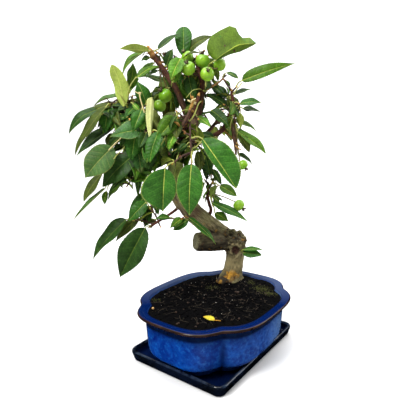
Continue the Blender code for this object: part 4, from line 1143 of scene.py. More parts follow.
class Mass:
    """One mass of foliage: a stem, its twigs, leaves and fruit, among limbs and other masses."""

    def __init__(self, limbs, masses, name, stem, radii, way):
        self.limbs, self.masses, self.name = limbs, masses, name
        self.space = SPACES.get(name)
        self.lines = [stem]
        self.solids = [solid_of(tube(stem, radii, BOUGH_SIDES - 2, None, (way, None)))]
        self.roots, self.twigs, self.blades, self.fruit = [], [], [], []

    def root_near(self, point):
        """The nearest place for a new root: inside a line's ends, and apart from other roots."""
        places = []
        for line in self.lines:
            length = line_length(line)
            back = SUNK
            while back < max(length - BARE_FOOT, SUNK + 0.1):
                places.append(back_from_end(line, min(back, length / 2))[0])
                back += ROSETTE_STEP

        def cost(place):
            crowded = any((place - root).length < ROSETTE_STEP * 0.9 for root in self.roots)
            return (place - point).length + (CROWDED if crowded else 0)

        turn = len(self.roots) * GOLDEN_TURN
        off_centre = Vector((math.cos(turn), math.sin(turn), math.sin(2 * turn))) * ROOT_SHIFT
        return min(places, key=cost) + off_centre

    def add_twig(self, line):
        shape = tube(line, tapered(line, TWIG_RADIUS, TWIG_TIP_RADIUS), TWIG_SIDES)
        self.solids.append(solid_of(shape))
        self.lines.append(line)
        self.twigs.append((line, TWIG_RADIUS * 0.75, TWIG_TIP_RADIUS * 0.65))

    def add_leaf(self, leaf, look, form):
        self.roots.append(leaf.root)
        self.blades.append((leaf, look, form))
        self.solids += [solid_of(blade(leaf)), solid_of(stalk(leaf, 0))]

    def is_clear(self, shape):
        """Whether a shape keeps off the limbs and off every other mass."""
        solid = solid_of(shape)
        return not (touches(solid, self.limbs)
                    or any(touches(solid, other.solids) for other in self.masses if other is not self))


def clear_twig(mass, root, end):
    """The line of a twig from a root to an end, with the first bow that keeps it clear."""
    for bend in BENDS:
        line = [root, (root + end) / 2 + Vector(bend) * (end - root).length, end]
        if mass.is_clear(tube(line, [TWIG_RADIUS + CLEAR] * 3, TWIG_SIDES)):
            return line
    return None


def place_lead(mass, leaf, look, apart):
    """Adds the leaf, with a twig towards it where it is far. It says whether there was room."""
    if not mass.is_clear(blade(leaf, CLEAR)):
        return False
    if apart and touches(solid_of(blade(leaf)), mass.solids):
        return False
    root = mass.root_near(leaf.foot)
    reach = leaf.foot - root
    line = None
    if reach.length > STALK_REACH:
        end = leaf.foot - reach.normalized() * (STALK_REACH * 0.7)
        line = clear_twig(mass, root, end)
        if line is None:
            return False
        root = back_from_end(line, SUNK)[0]
    leaf = leaf._replace(root=root)
    if not mass.is_clear(stalk(leaf, CLEAR)):
        return False
    if line:
        mass.roots.append(line[0])
        mass.add_twig(line)
    mass.add_leaf(leaf, look, "large")
    return True


def grow_leads(mass):
    """The listed leaves, each moved back or forward until it has room."""
    for lead, look in zip(LEADS.get(mass.name, ()), LEAD_LOOKS.get(mass.name, ())):
        for apart in (True, False):
            if any(place_lead(mass, lead_leaf(lead, depth), look, apart) for depth in DEPTHS):
                break


def ball(centre, radius, rows=FRUIT_ROWS, sides=FRUIT_SIDES):
    lifts = [math.pi * (row + 0.5) / rows - math.pi / 2 for row in range(rows)]
    turns = [math.tau * i / sides for i in range(sides)]
    return loft([[centre + radius * outwards(turn, lift) for turn in turns] for lift in lifts])


def grow_fruit(mass):
    """Round fruit, each hung on a thin stalk from the nearest twig."""
    for index, (right, away, up, radius) in enumerate(FRUIT.get(mass.name, ())):
        for depth in DEPTHS:
            centre = slid(Vector((right, away, up)), depth)
            root = mass.root_near(centre)
            line = clear_twig(mass, root, centre)
            if line and mass.is_clear(ball(centre, radius + CLEAR)):
                mass.roots.append(root)
                mass.fruit.append((line, centre, radius, index))
                mass.solids.append(solid_of(tube(line, tapered(line, 1.3, 1.0), TWIG_SIDES)))
                mass.solids.append(solid_of(ball(centre, radius)))
                break


def try_twig(mass, rng, index):
    """A twig at the golden angle round the stem, kept if it stays in the mass's space."""
    stem = mass.lines[0]
    share = (index + 0.5) / mass.space.twigs
    root, way = back_from_end(stem, SUNK + (1 - share) * (line_length(stem) - BARE_FOOT - SUNK))
    side = side_of(way, index * GOLDEN_TURN + rng.uniform(-0.3, 0.3))
    heading = (side + way * rng.uniform(0.1, 0.6)).normalized()
    room = TWIG_STEP
    while in_space(root + heading * room, mass.space):
        room += TWIG_STEP
    length = room * rng.uniform(0.5, 0.75)
    for _ in range(3):
        end = root + heading * length
        line = clear_twig(mass, root, end)
        if line and in_space(end, mass.space) and not in_sky(end):
            mass.roots.append(root)
            mass.add_twig(line)
            return
        length *= 0.7


def leaf_sites(mass, rng):
    """Places and headings for leaves: some along each twig and a rosette at its end."""
    sites = []
    for line in mass.lines:
        length = line_length(line)
        back = SUNK
        turn = rng.uniform(0, math.tau)
        place = 0
        while back < length - BARE_FOOT or place == 0:
            point, way = back_from_end(line, min(back, 0.5 * length))
            turn += GOLDEN_TURN
            in_rosette = place < ROSETTE
            spread = rng.uniform(0.2, 1.1) if in_rosette else rng.uniform(0.0, 0.4)
            sites.append((point, (side_of(way, turn) + way * spread).normalized()))
            back += ROSETTE_STEP if in_rosette else SIDE_STEP
            place += 1
    rng.shuffle(sites)
    return sites


def grow_leaf(mass, rng, root, heading):
    """A leaf at a site. Each try is smaller and turns further in to the middle of the space."""
    right, away, up = mass.space.centre
    inward = (slid(Vector((right, 0, up)), away) - root).normalized()
    for attempt in range(LEAF_TRIES):
        size = mass.space.leaf * rng.uniform(0.8, 1.2) * 0.92**attempt
        turned = (heading + inward * 0.3 * attempt).normalized()
        if try_leaf(mass, rng, root, turned, size):
            return


def facing(rng, way, heading, spread):
    """The way a hanging blade faces: up and outwards, turned a little round its rib."""
    top = Vector((0, 0, 1)) + heading * 0.35
    face = (top - way * top.dot(way)).normalized()
    return Matrix.Rotation(rng.gauss(0, spread), 3, way) @ face


def try_leaf(mass, rng, root, heading, size):
    """A leaf that arches out and hangs from its twig, skipped where it touches or strays."""
    foot = root + heading * size * rng.uniform(0.14, 0.26) + Vector((0, 0, 1.5))
    way = (heading + Vector((0, 0, -rng.uniform(0.15, 1.0)))).normalized()
    normal = facing(rng, way, heading, 0.5)
    width = size * rng.uniform(0.5, 0.66)
    leaf = Leaf(root, foot, foot + way * size, normal, width, LEAF_BOW, False)
    shown = [foot + way * size * part for part in (0.3, 0.6, 0.85, 1)]
    if not all(in_space(p, mass.space) for p in shown[1:]):
        return False
    if any(in_sky(p) for p in shown + blade_rings(leaf, LEAF_OUTLINE)[0]):
        return False
    if not (mass.is_clear(blade(leaf, CLEAR)) and mass.is_clear(stalk(leaf, CLEAR))):
        return False
    if touches(solid_of(blade(leaf)), mass.solids):
        return False
    mass.add_leaf(leaf, random.Random(f"{root}").choice(FILLER_LOOKS), "usual")
    return True


def grow_crown(limbs, stems):
    """All the masses: fruit and the listed leaves, twigs and leaves by the seeded rule of the solids, and
    then the finer growth among them."""
    masses = []
    for stem in stems:
        masses.append(Mass(limbs, masses, *stem))
    for mass in masses:
        grow_fruit(mass)
    for mass in masses:
        grow_leads(mass)
    growing = [mass for mass in masses if mass.space]
    rngs = {mass.name: random.Random(f"{SEED} {mass.name}") for mass in growing}
    for mass in growing:
        for index in range(mass.space.twigs):
            try_twig(mass, rngs[mass.name], index)
    queues = {mass.name: leaf_sites(mass, rngs[mass.name]) for mass in growing}
    while any(queues.values()):
        for mass in growing:
            if queues[mass.name]:
                grow_leaf(mass, rngs[mass.name], *queues[mass.name].pop())
    for mass in growing:
        refine(mass)
    for mass in growing:
        thicken(mass)
    return masses


def split_limb(limb):
    """The limb's smooth line parted where the leaves begin, its way there, and the radii."""
    steps = 2
    whole = smooth_line(limb.bough_line + limb.stem_line, steps)
    joint = (len(limb.bough_line) - 1) * steps
    way = directions(whole)[joint]
    bough, stem = whole[: joint + 1], whole[joint:]
    bough[-1] = whole[joint]
    stem = [stem[0] + way * GAP] + stem[1:]
    root, middle, tip = limb.radii
    return way, bough, tapered(bough, root, middle), stem, tapered(stem, middle, tip)


def refine(mass):
    """Finer twigs off the mass's twigs, each with a few young leaves, inside its space."""
    rng = random.Random(f"fine {mass.name}")
    for line in list(mass.lines):
        length = line_length(line)
        back = rng.uniform(2, 5)
        turn = rng.uniform(0, math.tau)
        while back < length - 3:
            root, way = back_from_end(line, back)
            turn += GOLDEN_TURN
            heading = (side_of(way, turn) + way * rng.uniform(0.3, 1.0)).normalized()
            end = root + heading * rng.uniform(6, 12)
            back += rng.uniform(7, 11)
            if in_sky(end) or not in_space(end, mass.space):
                continue
            twig = [root, (root + end) / 2 + Vector((0, 0, 0.6)), end]
            if not mass.is_clear(tube(twig, [0.9] * 3, TWIG_SIDES)):
                continue
            mass.twigs.append((twig, 0.8, 0.55))
            for _ in range(rng.randint(1, 3)):
                turned = strayed(rng, heading, 0.7)
                size = rng.uniform(12, 22)
                look = rng.choice(("middle", "deep", "young", "dark"))
                hung_leaf(mass, rng, end, turned, size, look, "small")


def strayed(rng, heading, spread):
    """A heading turned at random."""
    return (heading + Vector([rng.gauss(0, spread) for _ in range(3)])).normalized()


def hung_leaf(mass, rng, root, heading, size, look, form):
    """A leaf that hangs from a root, left out where it would touch another or stray."""
    foot = root + heading * rng.uniform(0.15, 0.32) * size
    way = (heading + Vector((0, 0, -rng.uniform(0.0, 0.9)))).normalized()
    normal = facing(rng, way, heading, 0.6)
    leaf = Leaf(root, foot, foot + way * size, normal, size * rng.uniform(0.44, 0.6), LEAF_BOW, False)
    shown = [foot + way * size * part for part in (0.4, 0.7, 1)]
    if any(in_sky(p) or not in_space(p, mass.space) for p in shown):
        return False
    shape = solid_of(blade(leaf))
    if touches(shape, mass.limbs) or any(touches(shape, other.solids) for other in mass.masses):
        return False
    mass.solids.append(shape)
    mass.blades.append((leaf, look, form))
    return True


def thicken(mass):
    """More leaves along the twigs, wherever a whole one still has room."""
    rng = random.Random(f"thick {mass.name}")
    for _ in range(2):
        for root, heading in leaf_sites(mass, rng):
            for share in (0.8, 0.66, 0.52):
                turned = strayed(rng, heading, 0.4)
                size = mass.space.leaf * share * rng.uniform(0.85, 1.1)
                form = "usual" if size > 24 else "small"
                if hung_leaf(mass, rng, root, turned, size, rng.choice(INNER_LOOKS), form):
                    break


class Gathered:
    """One piece gathered from many small shapes, each face with its finish."""

    def __init__(self, name, slot, *materials):
        self.name, self.slot, self.materials = name, slot, materials
        self.points, self.faces, self.kinds = [], [], []

    def add(self, points, faces, kinds=0):
        start = len(self.points)
        self.points += [tuple(p) for p in points]
        self.faces += [tuple(start + i for i in face) for face in faces]
        self.kinds += kinds if isinstance(kinds, list) else [kinds] * len(faces)

    def piece(self, to_row=None, nodes=()):
        mesh = bpy.data.meshes.new(self.name)
        mesh.from_pydata(self.points, [], self.faces)
        if to_row:
            mesh.transform(to_row)
        for material in self.materials:
            mesh.materials.append(material)
        mesh.polygons.foreach_set("material_index", self.kinds)
        mesh.shade_smooth()
        obj = bpy.data.objects.new(self.name, mesh)
        bpy.context.scene.collection.objects.link(obj)
        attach(obj, "root")
        if nodes:
            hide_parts(*nodes)
        return obj


def lump(rng, centre, size):
    """A rough grain of twelve faces."""
    rings = []
    turn = rng.uniform(0, math.tau)
    squash = rng.uniform(0.55, 1.0)
    for lift in (-0.9, -0.1, 0.75):
        ring = []
        for i in range(5):
            angle = turn + math.tau * i / 5
            reach = size * rng.uniform(0.75, 1.15) * math.cos(lift)
            ring.append(centre + Vector((reach * math.cos(angle), reach * math.sin(angle),
                                         size * squash * math.sin(lift))))
        rings.append(ring)
    return loft(rings)


def over_soil(rng, spread):
    """A place on the soil, inside the rim."""
    angle = rng.uniform(0, math.tau)
    border = lobed_ring(RIM_WIDTH + 0.001, 0, 48)[int(angle / math.tau * 48) % 48]
    share = math.sqrt(rng.random()) * spread
    return border.x * share, border.y * share


def scatter(rng, heap, count, sizes, sits, lift=0.0, spread=0.93):
    """Grains laid at random, each sitting up by a share of its size."""
    for _ in range(count):
        x, y = over_soil(rng, spread)
        size = rng.uniform(*sizes)
        heap.add(*lump(rng, on_soil(x, y, size * sits + lift), size))


def strand(rng, x, y, length, radius):
    """A fine root that lies on the soil."""
    heading = rng.uniform(0, math.tau)
    line = []
    for _ in range(5):
        heading += rng.uniform(-0.5, 0.5)
        line.append(on_soil(x, y, 0.0006 * rng.uniform(0.5, 1.6)))
        x, y = x + math.cos(heading) * length / 4, y + math.sin(heading) * length / 4
    return tube(line, tapered(line, radius, radius * 0.5), 3)


def make_soil_litter():
    """Crumbs, chips, fine roots, moss, grit and a seed on the soil."""
    rng = random.Random(5)
    crumbs = Gathered("soil_crumbs", "potting_soil", soil_finish())
    scatter(rng, crumbs, CRUMBS, (0.0005, 0.0017), 0.2)
    crumbs.piece()
    chips = Gathered("bark_chips", "bark", speckled("bark_chip", (26, 18, 13), (62, 42, 27), 0.9))
    scatter(rng, chips, CHIPS, (0.0006, 0.0016), 0.4)
    for x, y, lift, size in LOOSE_BARK:
        chips.add(*lump(rng, Vector((x, y, SOIL_TOP + lift)), size))
    perch, radius = KNOBS[0]
    for _ in range(KNOB_CHIPS):
        way = Vector((rng.gauss(-0.1, 0.5), rng.gauss(-0.3, 0.4), 1)).normalized()
        place = TO_ROW @ (Vector(perch) + way * (radius + 0.3))
        chips.add(*lump(rng, place, rng.uniform(0.0006, 0.0014)))
    chips.piece()
    roots = Gathered("fine_roots", "bark", speckled("fine_root", (40, 33, 27), (88, 76, 58), 0.85))
    for _ in range(FINE_ROOTS):
        x, y = over_soil(rng, 0.86)
        roots.add(*strand(rng, x, y, rng.uniform(0.004, 0.016), rng.uniform(0.00012, 0.00026)))
    roots.piece()
    moss = Gathered("moss_tufts", "leaves_and_fruit",
                    speckled("moss", (40, 46, 14), (82, 84, 28), 0.9, 700))
    for middle_x, middle_y, spread, count in MOSS:
        for _ in range(count):
            x, y = rng.gauss(middle_x, spread / 2), rng.gauss(middle_y, spread / 2)
            top = Vector((rng.uniform(-0.0008, 0.0008), rng.uniform(-0.0008, 0.0008),
                          rng.uniform(0.0009, 0.0022)))
            low = on_soil(x, y, -0.0002)
            moss.add(*tube([low, low + top * 0.6, low + top], [0.00035, 0.0003, 0.00008], 3))
    moss.piece()
    grit = Gathered("pale_grit", "potting_soil",
                    speckled("grit", (176, 170, 156), (214, 208, 196), 0.8))
    scatter(rng, grit, GRAINS, (0.0003, 0.0006), 0.0, 0.0008, 0.85)
    grit.piece()
    seed = Gathered("dry_seed", "bark", speckled("seed_husk", (190, 144, 84), (216, 176, 112), 0.6))
    x, y, lift, radius = DRY_SEED
    seed.add(*ball(Vector((x, y, SOIL_TOP + lift)), radius, 10, 14))
    seed.piece()


def limb_lines():
    """The smooth centre lines of trunk, stub, boughs and stems, with a radius at each point."""
    lines = [smooth_line(above_soil(line), BARK_STEPS) for line in (TRUNK_LINE, STUB_LINE)]
    for limb in LIMBS:
        whole = smooth_line(limb.bough_line + limb.stem_line, BARK_STEPS)
        joint = (len(limb.bough_line) - 1) * BARK_STEPS
        root, middle, tip = limb.radii
        radii = tapered(whole[: joint + 1], root, middle) + tapered(whole[joint:], middle, tip)[1:]
        lines.append([Vector((*p, r * (0.88 if r < 5 else 1))) for p, r in zip(whole, radii)])
    return lines


LINES = limb_lines()
STUB_END = LINES[1][-1].xyz
STUB_WAY = (LINES[1][-1].xyz - LINES[1][-3].xyz).normalized()
TAN_PLACES = [(Vector(limb.stem_line[-1]), TAN_TIPS[limb.mass]) for limb in LIMBS if limb.mass in TAN_TIPS]


def nearest_limb(place):
    """The point of the centre lines whose skin is nearest to a place."""
    return min((p for line in LINES for p in line), key=lambda p: (p.xyz - place).length - p.w)


def fine_trunk():
    """The trunk's tube with its root flare, seen from close by."""
    shape = tube([p.xyz for p in LINES[0]], [p.w for p in LINES[0]], TRUNK_FINE_SIDES, flare)
    for point in shape[0][:TRUNK_FINE_SIDES]:
        point.z = GROUND - 0.6
    return shape


def egg(centre, half, rows, sides):
    """A closed ball drawn out to half sizes."""
    points, faces = ball(Vector((0, 0, 0)), 1, rows, sides)
    return [Vector(centre) + Vector([c * h for c, h in zip(p, half)]) for p in points], faces


class Grain:
    """Where each point of the bark lies: round and along its nearest limb."""

    def __init__(self):
        self.samples = []
        for line in LINES:
            places = [p.xyz for p in line]
            ways = directions(places)
            side = ways[0].orthogonal().normalized()
            run = len(self.samples) * 7.0
            for k, (place, way) in enumerate(zip(places, ways)):
                side = (side - way * side.dot(way)).normalized()
                if k:
                    run += (place - places[k - 1]).length
                self.samples.append((place, way, side, run, line[k].w))
        self.tree = KDTree(len(self.samples))
        for k, sample in enumerate(self.samples):
            self.tree.insert(sample[0], k)
        self.tree.balance()

    def fit(self, found):
        """How far a point is from a limb's skin, where the thicker limb wins near a joint."""
        radius = self.samples[found[1]][4]
        return max(0.0, found[2] - radius - 0.8) - 0.25 * radius + 0.02 * found[2]

    def at(self, point):
        """Round and along the limb as a vector, and the limb's radius there."""
        near = self.tree.find_n(point, 5) + self.tree.find_range(point, 15.5)
        place, way, side, run, radius = self.samples[min(near, key=self.fit)[1]]
        offset = point - place
        return Vector((offset.dot(side), offset.dot(way.cross(side)), run + offset.dot(way))), radius


def fade(distance, reach):
    """1 at no distance, falling to 0 at the reach."""
    return max(0.0, 1 - distance / reach) if distance < reach else 0.0


def burr_reach(point):
    """How far a point is from the burr's middle, in the burr's own half sizes."""
    (right, away, up), half = BURR
    return Vector([(p - c) / h for p, c, h in zip(point, (right, away, up + GROUND), half)]).length


def scar_reach(point):
    """How far a point is from the scar's middle, in its half sizes, with an uneven edge."""
    (right, _, up), (half_width, half_height) = SCAR
    off = math.hypot((point.x - right) / half_width, (point.z - up) / half_height)
    return off + noise.noise(point * 0.3) * 0.5


def by_scar(point):
    return point.y < SCAR[0][1] + SCAR_DEPTH


def bark_relief(point, grain, radius):
    """How far the bark stands out at a point: ridges along the limb, lumps on the burr, the scar."""
    ridge = noise.noise(Vector((grain.x * 0.34, grain.y * 0.34, grain.z * 0.07)))
    fine = noise.noise(Vector((grain.x * 0.9, grain.y * 0.9, grain.z * 0.22 + 40)))
    swell = noise.noise(point * 0.07)
    height = min(1.0, radius / 11) * (1.0 * ridge + 0.7 * fine + 1.2 * swell)
    knobbly = min(1.0, fade(burr_reach(point), 1.6) * 2.2)
    lumps = 0.5 - abs(noise.noise(point * 0.16))
    height += knobbly * (3.4 * lumps - 1.1 + 1.1 * noise.noise(point * 0.38))
    if by_scar(point):
        scar = scar_reach(point)
        height += 1.4 * math.exp(-((scar - 1.15) / 0.3) ** 2) - 1.1 * fade(scar, 1.05)
    return height


def make_wood():
    """Trunk, stub, boughs and shoots as one skin of bark."""
    (right, away, up), half = BURR
    shapes = [fine_trunk(), egg((right, away, up + GROUND), half, 14, 24), egg(*ROOT_KNOB, 10, 16)]
    shapes += [egg(place, (size, size, size), 8, 12) for place, size in KNOBS]
    stub = [p.w for p in LINES[1]]
    stub[-3:] = [stub[-3] * 0.99, stub[-2] * 0.95, stub[-1] * 0.80]
    shapes.append(tube([p.xyz for p in LINES[1]], stub, STUB_FINE_SIDES))
    for line in LINES[2:]:
        shapes.append(tube([p.xyz for p in line], [p.w for p in line], BOUGH_FINE_SIDES))
    rough = Gathered("trunk_and_boughs", "bark")
    for shape in shapes:
        rough.add(*shape)
    wood = rough.piece(TO_ROW, ["trunk"] + [limb.bough for limb in LIMBS])
    bpy.ops.object.select_all(action="DESELECT")
    bpy.context.view_layer.objects.active = wood
    wood.select_set(True)
    skin = wood.modifiers.new("skin", "REMESH")
    skin.mode = "VOXEL"
    skin.voxel_size = VOXEL
    bpy.ops.object.modifier_apply(modifier="skin")
    even = wood.modifiers.new("even", "SMOOTH")
    even.iterations = 6
    bpy.ops.object.modifier_apply(modifier="even")
    carve_bark(wood)
    wood.data.shade_smooth()
    wood.data.materials.append(bark_finish())


def on_cut(point):
    """Whether a point is on the flat cut at the stub's end."""
    return (point - STUB_END).dot(STUB_WAY) > -1.6 and (point - STUB_END).length < 14.5


def bark_marks(point, height, radius):
    """What the bark's finish reads at a point, by the name of each mark."""
    blotch = noise.noise(point * 0.22)
    along = (point - STUB_END).dot(-STUB_WAY)
    off_stub = (point - STUB_END + STUB_WAY * along).length
    stub = min(1.0, fade(off_stub / 20, 1.0) * 4 * (0 < along < 44))
    # Painted shade under the stub, darker the lower the point lies.
    below = unit(0.55 - (point.z - STUB_END.z - 0.12 * along) / 20)
    burr = min(1.0, fade(burr_reach(point), 1.5) * 3)
    knob = fade((point - Vector(ROOT_KNOB[0])).length, 13) * 2.4
    stain = max(stub * (0.35 + 0.6 * below + 0.4 * blotch), burr * (0.62 + 0.9 * blotch), knob)
    ochre = max(fade((point - Vector(place)).length, reach) for place, reach in OCHRE)
    low = unit((106 - point.z) / 12) * unit((point.z - 78) / 6)
    low *= (point.x > -12) * (0.75 + 0.8 * blotch)
    ring = dark = 0.0
    if by_scar(point):
        scar = scar_reach(point)
        ring = max(0.0, 0.55 + 0.6 * blotch) * math.exp(-((scar - 1.2) / 0.2) ** 2)
        dark = min(1.0, fade(scar + blotch * 0.3, 0.95) * 3)
    tan = max(fade((point - tip).length, reach) for tip, reach in TAN_PLACES)
    return {
        "age": unit((radius - 3.6) / 4.0),
        # Painted shade in the bark's hollows.
        "hollow": unit(-height * 0.9 - 0.15),
        # Painted highlight on the bark's ridges.
        "raised": unit(height * 0.8 - 0.2) * min(1.0, radius / 9),
        "stain": min(0.92, max(0.0, stain)),
        "ochre": unit(ochre * 2.2 + blotch * 1.2 - 0.4),
        "pale": max(low, ring),
        "dark": dark,
        "cut": float(on_cut(point)),
        "rosy": 0.75 * unit((point.z - GROUND - 62) / 25) * unit(-point.x / 20),
        "tan": min(1.0, tan * 2.5),
    }


def carve_bark(wood):
    """Gives the bark its relief, and the marks that its finish reads."""
    grain = Grain()
    mesh = wood.data
    places, rounds, marks = [], [], []
    for vert in mesh.vertices:
        point = TO_PLANT @ vert.co
        around, radius = grain.at(point)
        height = bark_relief(point, around, radius) * (0.5 if on_cut(point) else 1.0)
        places.append(vert.co + vert.normal * height * MM)
        rounds.append(around)
        marks.append(bark_marks(point, height, radius))
    mesh.vertices.foreach_set("co", np.array(places, np.float32).ravel())
    layer = mesh.attributes.new("grain", "FLOAT_VECTOR", "POINT")
    layer.data.foreach_set("vector", np.array(rounds, np.float32).ravel())
    for name in marks[0]:
        mark(wood, name, [each[name] for each in marks])
    mesh.update()


# Blades: side veins, where the rows lie between two of them, the columns from rib to rim
# as shares of the half width, those of the underside, and the depth of a tooth
Form = namedtuple("Form", "veins rows columns under tooth")
FORMS = {
    "large": Form(8, (0, 0.09, 0.27, 0.46, 0.65, 0.83), (0.05, 0.32, 0.62, 0.94, 1.0),
                  (0.05, 0.32, 0.62, 0.94), 0.9),
    "usual": Form(4, (0, 0.14, 0.56), (0.06, 0.55, 1.0), (0.06,), 0.6),
    "small": Form(3, (0, 0.5), (0.1, 1.0), (), 0.4),
}
TOP, BACK, RIB, VEIN, EDGE = range(5)
SWEEP = 0.72
SKIN = 0.3


def blade_faces(form):
    """The faces of a blade of this form and the finish of each, for blade_points' order."""
    side = len(form.columns)
    count, per_vein = 2 * side + 1, len(form.rows)
    rows = per_vein * form.veins
    tip = rows * count
    low_count = 2 * len(form.under) + 1
    low_columns = [0] + [form.columns.index(c) + 1 for c in form.under]
    low_columns = [side - c for c in reversed(low_columns[1:])] + [side + c for c in low_columns]
    chain = [0] + low_columns + [count - 1]

    def upper(row, column):
        return row * count + column if row < rows else tip

    def lower(row, column):
        if row == rows or column in (0, count - 1):
            return upper(row, column)
        return tip + 1 + row * low_count + low_columns.index(column)

    faces, kinds = [], []
    for row in range(rows):
        late = row > rows * 0.7 and side < 5
        for c in range(count - 1):
            out = abs(c + 0.5 - side)
            quad = (upper(row, c), upper(row + 1, c), upper(row + 1, c + 1), upper(row, c + 1))
            faces.append(tuple(dict.fromkeys(quad)))
            if out < 1:
                kinds.append(VEIN if late else RIB)
            elif out > side - 1 and side > 4 or row > rows - 3:
                kinds.append(EDGE)
            else:
                kinds.append(VEIN if row % per_vein == 0 and per_vein > 2 else TOP)
        for c, d in zip(chain, chain[1:]):
            quad = (lower(row, c), lower(row, d), lower(row + 1, d), lower(row + 1, c))
            faces.append(tuple(dict.fromkeys(quad)))
            kinds.append(RIB if max(abs(c - side), abs(d - side)) < 2 and side > 2 else BACK)
    foot = [upper(0, c) for c in range(count)] + [lower(0, c) for c in reversed(low_columns)]
    faces.append(tuple(foot))
    kinds.append(RIB)
    return faces, kinds


TOPOLOGY = {name: blade_faces(form) for name, form in FORMS.items()}


def blade_points(leaf, form, manner):
    """The points of a blade: toothed, swept along its veins, folded, bowed and curled."""
    length = (leaf.tip - leaf.foot).length
    way = (leaf.tip - leaf.foot) / length
    side = leaf.normal.cross(way).normalized()
    over = way.cross(side)
    half_max = leaf.width / 2
    columns = [-c for c in reversed(form.columns)] + [0.0] + list(form.columns)
    under = [-c for c in reversed(form.under)] + [0.0] + list(form.under)
    blunt = manner["blunt"]
    base_curve = manner["base"]
    peak = base_curve / (base_curve + blunt)
    most = peak**base_curve * (1 - peak) ** blunt
    top, low = [], []
    for row in range(len(form.rows) * form.veins):
        part = form.rows[row % len(form.rows)]
        u = (row // len(form.rows) + part) / form.veins
        half = max(half_max * u**base_curve * (1 - u) ** blunt / most, 0.4)
        tooth = form.tooth * min(1, half / 6) * (0.5 if row % 2 == 0 else -0.5)
        rib = min(0.62 * (1 - 0.7 * u), half * 0.5)
        sweep = SWEEP * (0.3 + 0.7 * min(1.0, u / 0.3)) * (1 - u * 0.4)
        quilt = math.sin(math.pi * max(0.0, part - 0.05)) - 0.3
        for column in columns:
            reach = abs(column)
            y = half * reach
            y *= 1 + manner["lean"] * math.copysign(1, column)
            if reach == form.columns[0]:
                y = rib
            if reach == 1.0:
                y += tooth
            x = min(u * length + sweep * y, length * (0.9 + 0.1 * u))
            p = x / length
            spread = y / half_max
            y = math.copysign(y, column)
            height = leaf.bow * length * 4 * p * (1 - p)
            height += abs(y) * math.tan(manner["fold"]) * (1 - 0.35 * spread)
            height -= manner["curl"] * length * max(0.0, p - 0.4) ** 2
            height -= manner["roll"] * half_max * max(0.0, spread - 0.5) ** 2
            height += manner["wave"] * half_max * spread**2 * math.sin(manner["phase"] + 9 * p + column)
            height += manner["quilt"] * quilt * math.sin(math.pi * min(1.0, reach)) * min(1, half / 5)
            twist = manner["twist"] * (p - 0.25)
            across = y * math.cos(twist) + manner["bend"] * length * p * p
            rise = height + y * math.sin(twist)
            base = leaf.foot + way * x + side * across + over * rise
            top.append(base - over * (0.25 if column == 0 else 0))
            if column in under:
                low.append(base - over * (0.85 * (1 - 0.5 * u) if column == 0 else SKIN))
    drop = manner["curl"] * length * 0.36
    tip = leaf.foot + way * length + side * manner["bend"] * length - over * drop
    return top + [tip] + low


def manner_of(rng, calm):
    """How one blade folds, curls, waves, twists and bends, less so for a calm one."""
    free = 0.4 if calm else 1.0
    return {
        "base": rng.uniform(0.34, 0.5),
        "blunt": rng.uniform(0.9, 1.3),
        "fold": math.radians(rng.uniform(6, 26)),
        "curl": rng.uniform(0.05, 0.5) * free,
        "roll": rng.uniform(-0.1, 0.5),
        "wave": rng.uniform(0.06, 0.2) * (0.7 if calm else 1.0),
        "phase": rng.uniform(0, math.tau),
        "quilt": 0.45 if calm else 0.3,
        "twist": rng.gauss(0, 0.4) * free,
        "bend": rng.gauss(0, 0.07) * free,
        "lean": 0.0,
    }


def petiole(leaf, rng, radius):
    """The leaf's own stalk, bowed from twig to blade."""
    reach = leaf.foot - leaf.root
    sag = Vector((rng.uniform(-0.1, 0.1), rng.uniform(-0.1, 0.1), 0.16)) * reach.length
    line = smooth_line([leaf.root, (leaf.root + leaf.foot) / 2 + sag, leaf.foot], 3)
    way = (leaf.tip - leaf.foot).normalized()
    line.append(leaf.foot + way * 1.4)
    return tube(line, tapered(line, radius * 1.25, radius * 0.8), STALK_FINE_SIDES)


def make_leaves(masses):
    """Every blade and stalk, gathered by its look."""
    heaps = {}
    for name, look in LOOKS.items():
        faces = [leaf_finish(f"{name}_{part}", colour, look.rough + more, MOTTLES.get(name, 1.0))
                 for part, colour, more in (("top", look.top, 0), ("back", look.back, 0.15),
                                            ("rib", look.rib, 0.1), ("vein", look.vein, 0),
                                            ("edge", look.edge, 0.05))]
        heaps[name] = Gathered(f"leaves_{name}", "leaves_and_fruit", *faces)
    green = speckled("green_stalk", (140, 152, 62), (186, 184, 96), 0.5)
    red = speckled("red_stalk", (112, 62, 38), (150, 104, 52), 0.5)
    cream = speckled("dry_stalk", (192, 174, 112), (224, 208, 152), 0.6)
    golden = speckled("golden_shoot", (112, 74, 26), (186, 142, 56), 0.6, 420)
    brown = speckled("brown_shoot", (48, 30, 22), (104, 68, 40), 0.7, 420)
    stalks = Gathered("leaf_stalks", "leaves_and_fruit", green, red, cream, golden, brown)
    for mass in masses:
        rng = random.Random(f"look {mass.name}")
        hand_set = 0
        for leaf, look, form in mass.blades:
            faces, kinds = TOPOLOGY[form]
            manner = manner_of(rng, form == "large")
            if form == "large":
                change = MANNERS.get((mass.name, hand_set), {})
                hand_set += 1
                leaf = leaf._replace(width=leaf.width * change.get("width", 1))
                manner.update(change)
            if look == "torn":
                leaf = torn_leaf(heaps["torn"], leaf)
            else:
                heaps[look].add(blade_points(leaf, FORMS[form], manner), faces, kinds)
            stalks.add(*petiole(leaf, rng, PETIOLES[form]), int(rng.random() < 0.15))
    names = [mass.name for mass in masses]
    lay_stalks(stalks)
    for heap in heaps.values():
        if heap.points:
            heap.piece(TO_ROW, names)
    stalks.piece(TO_ROW, names)


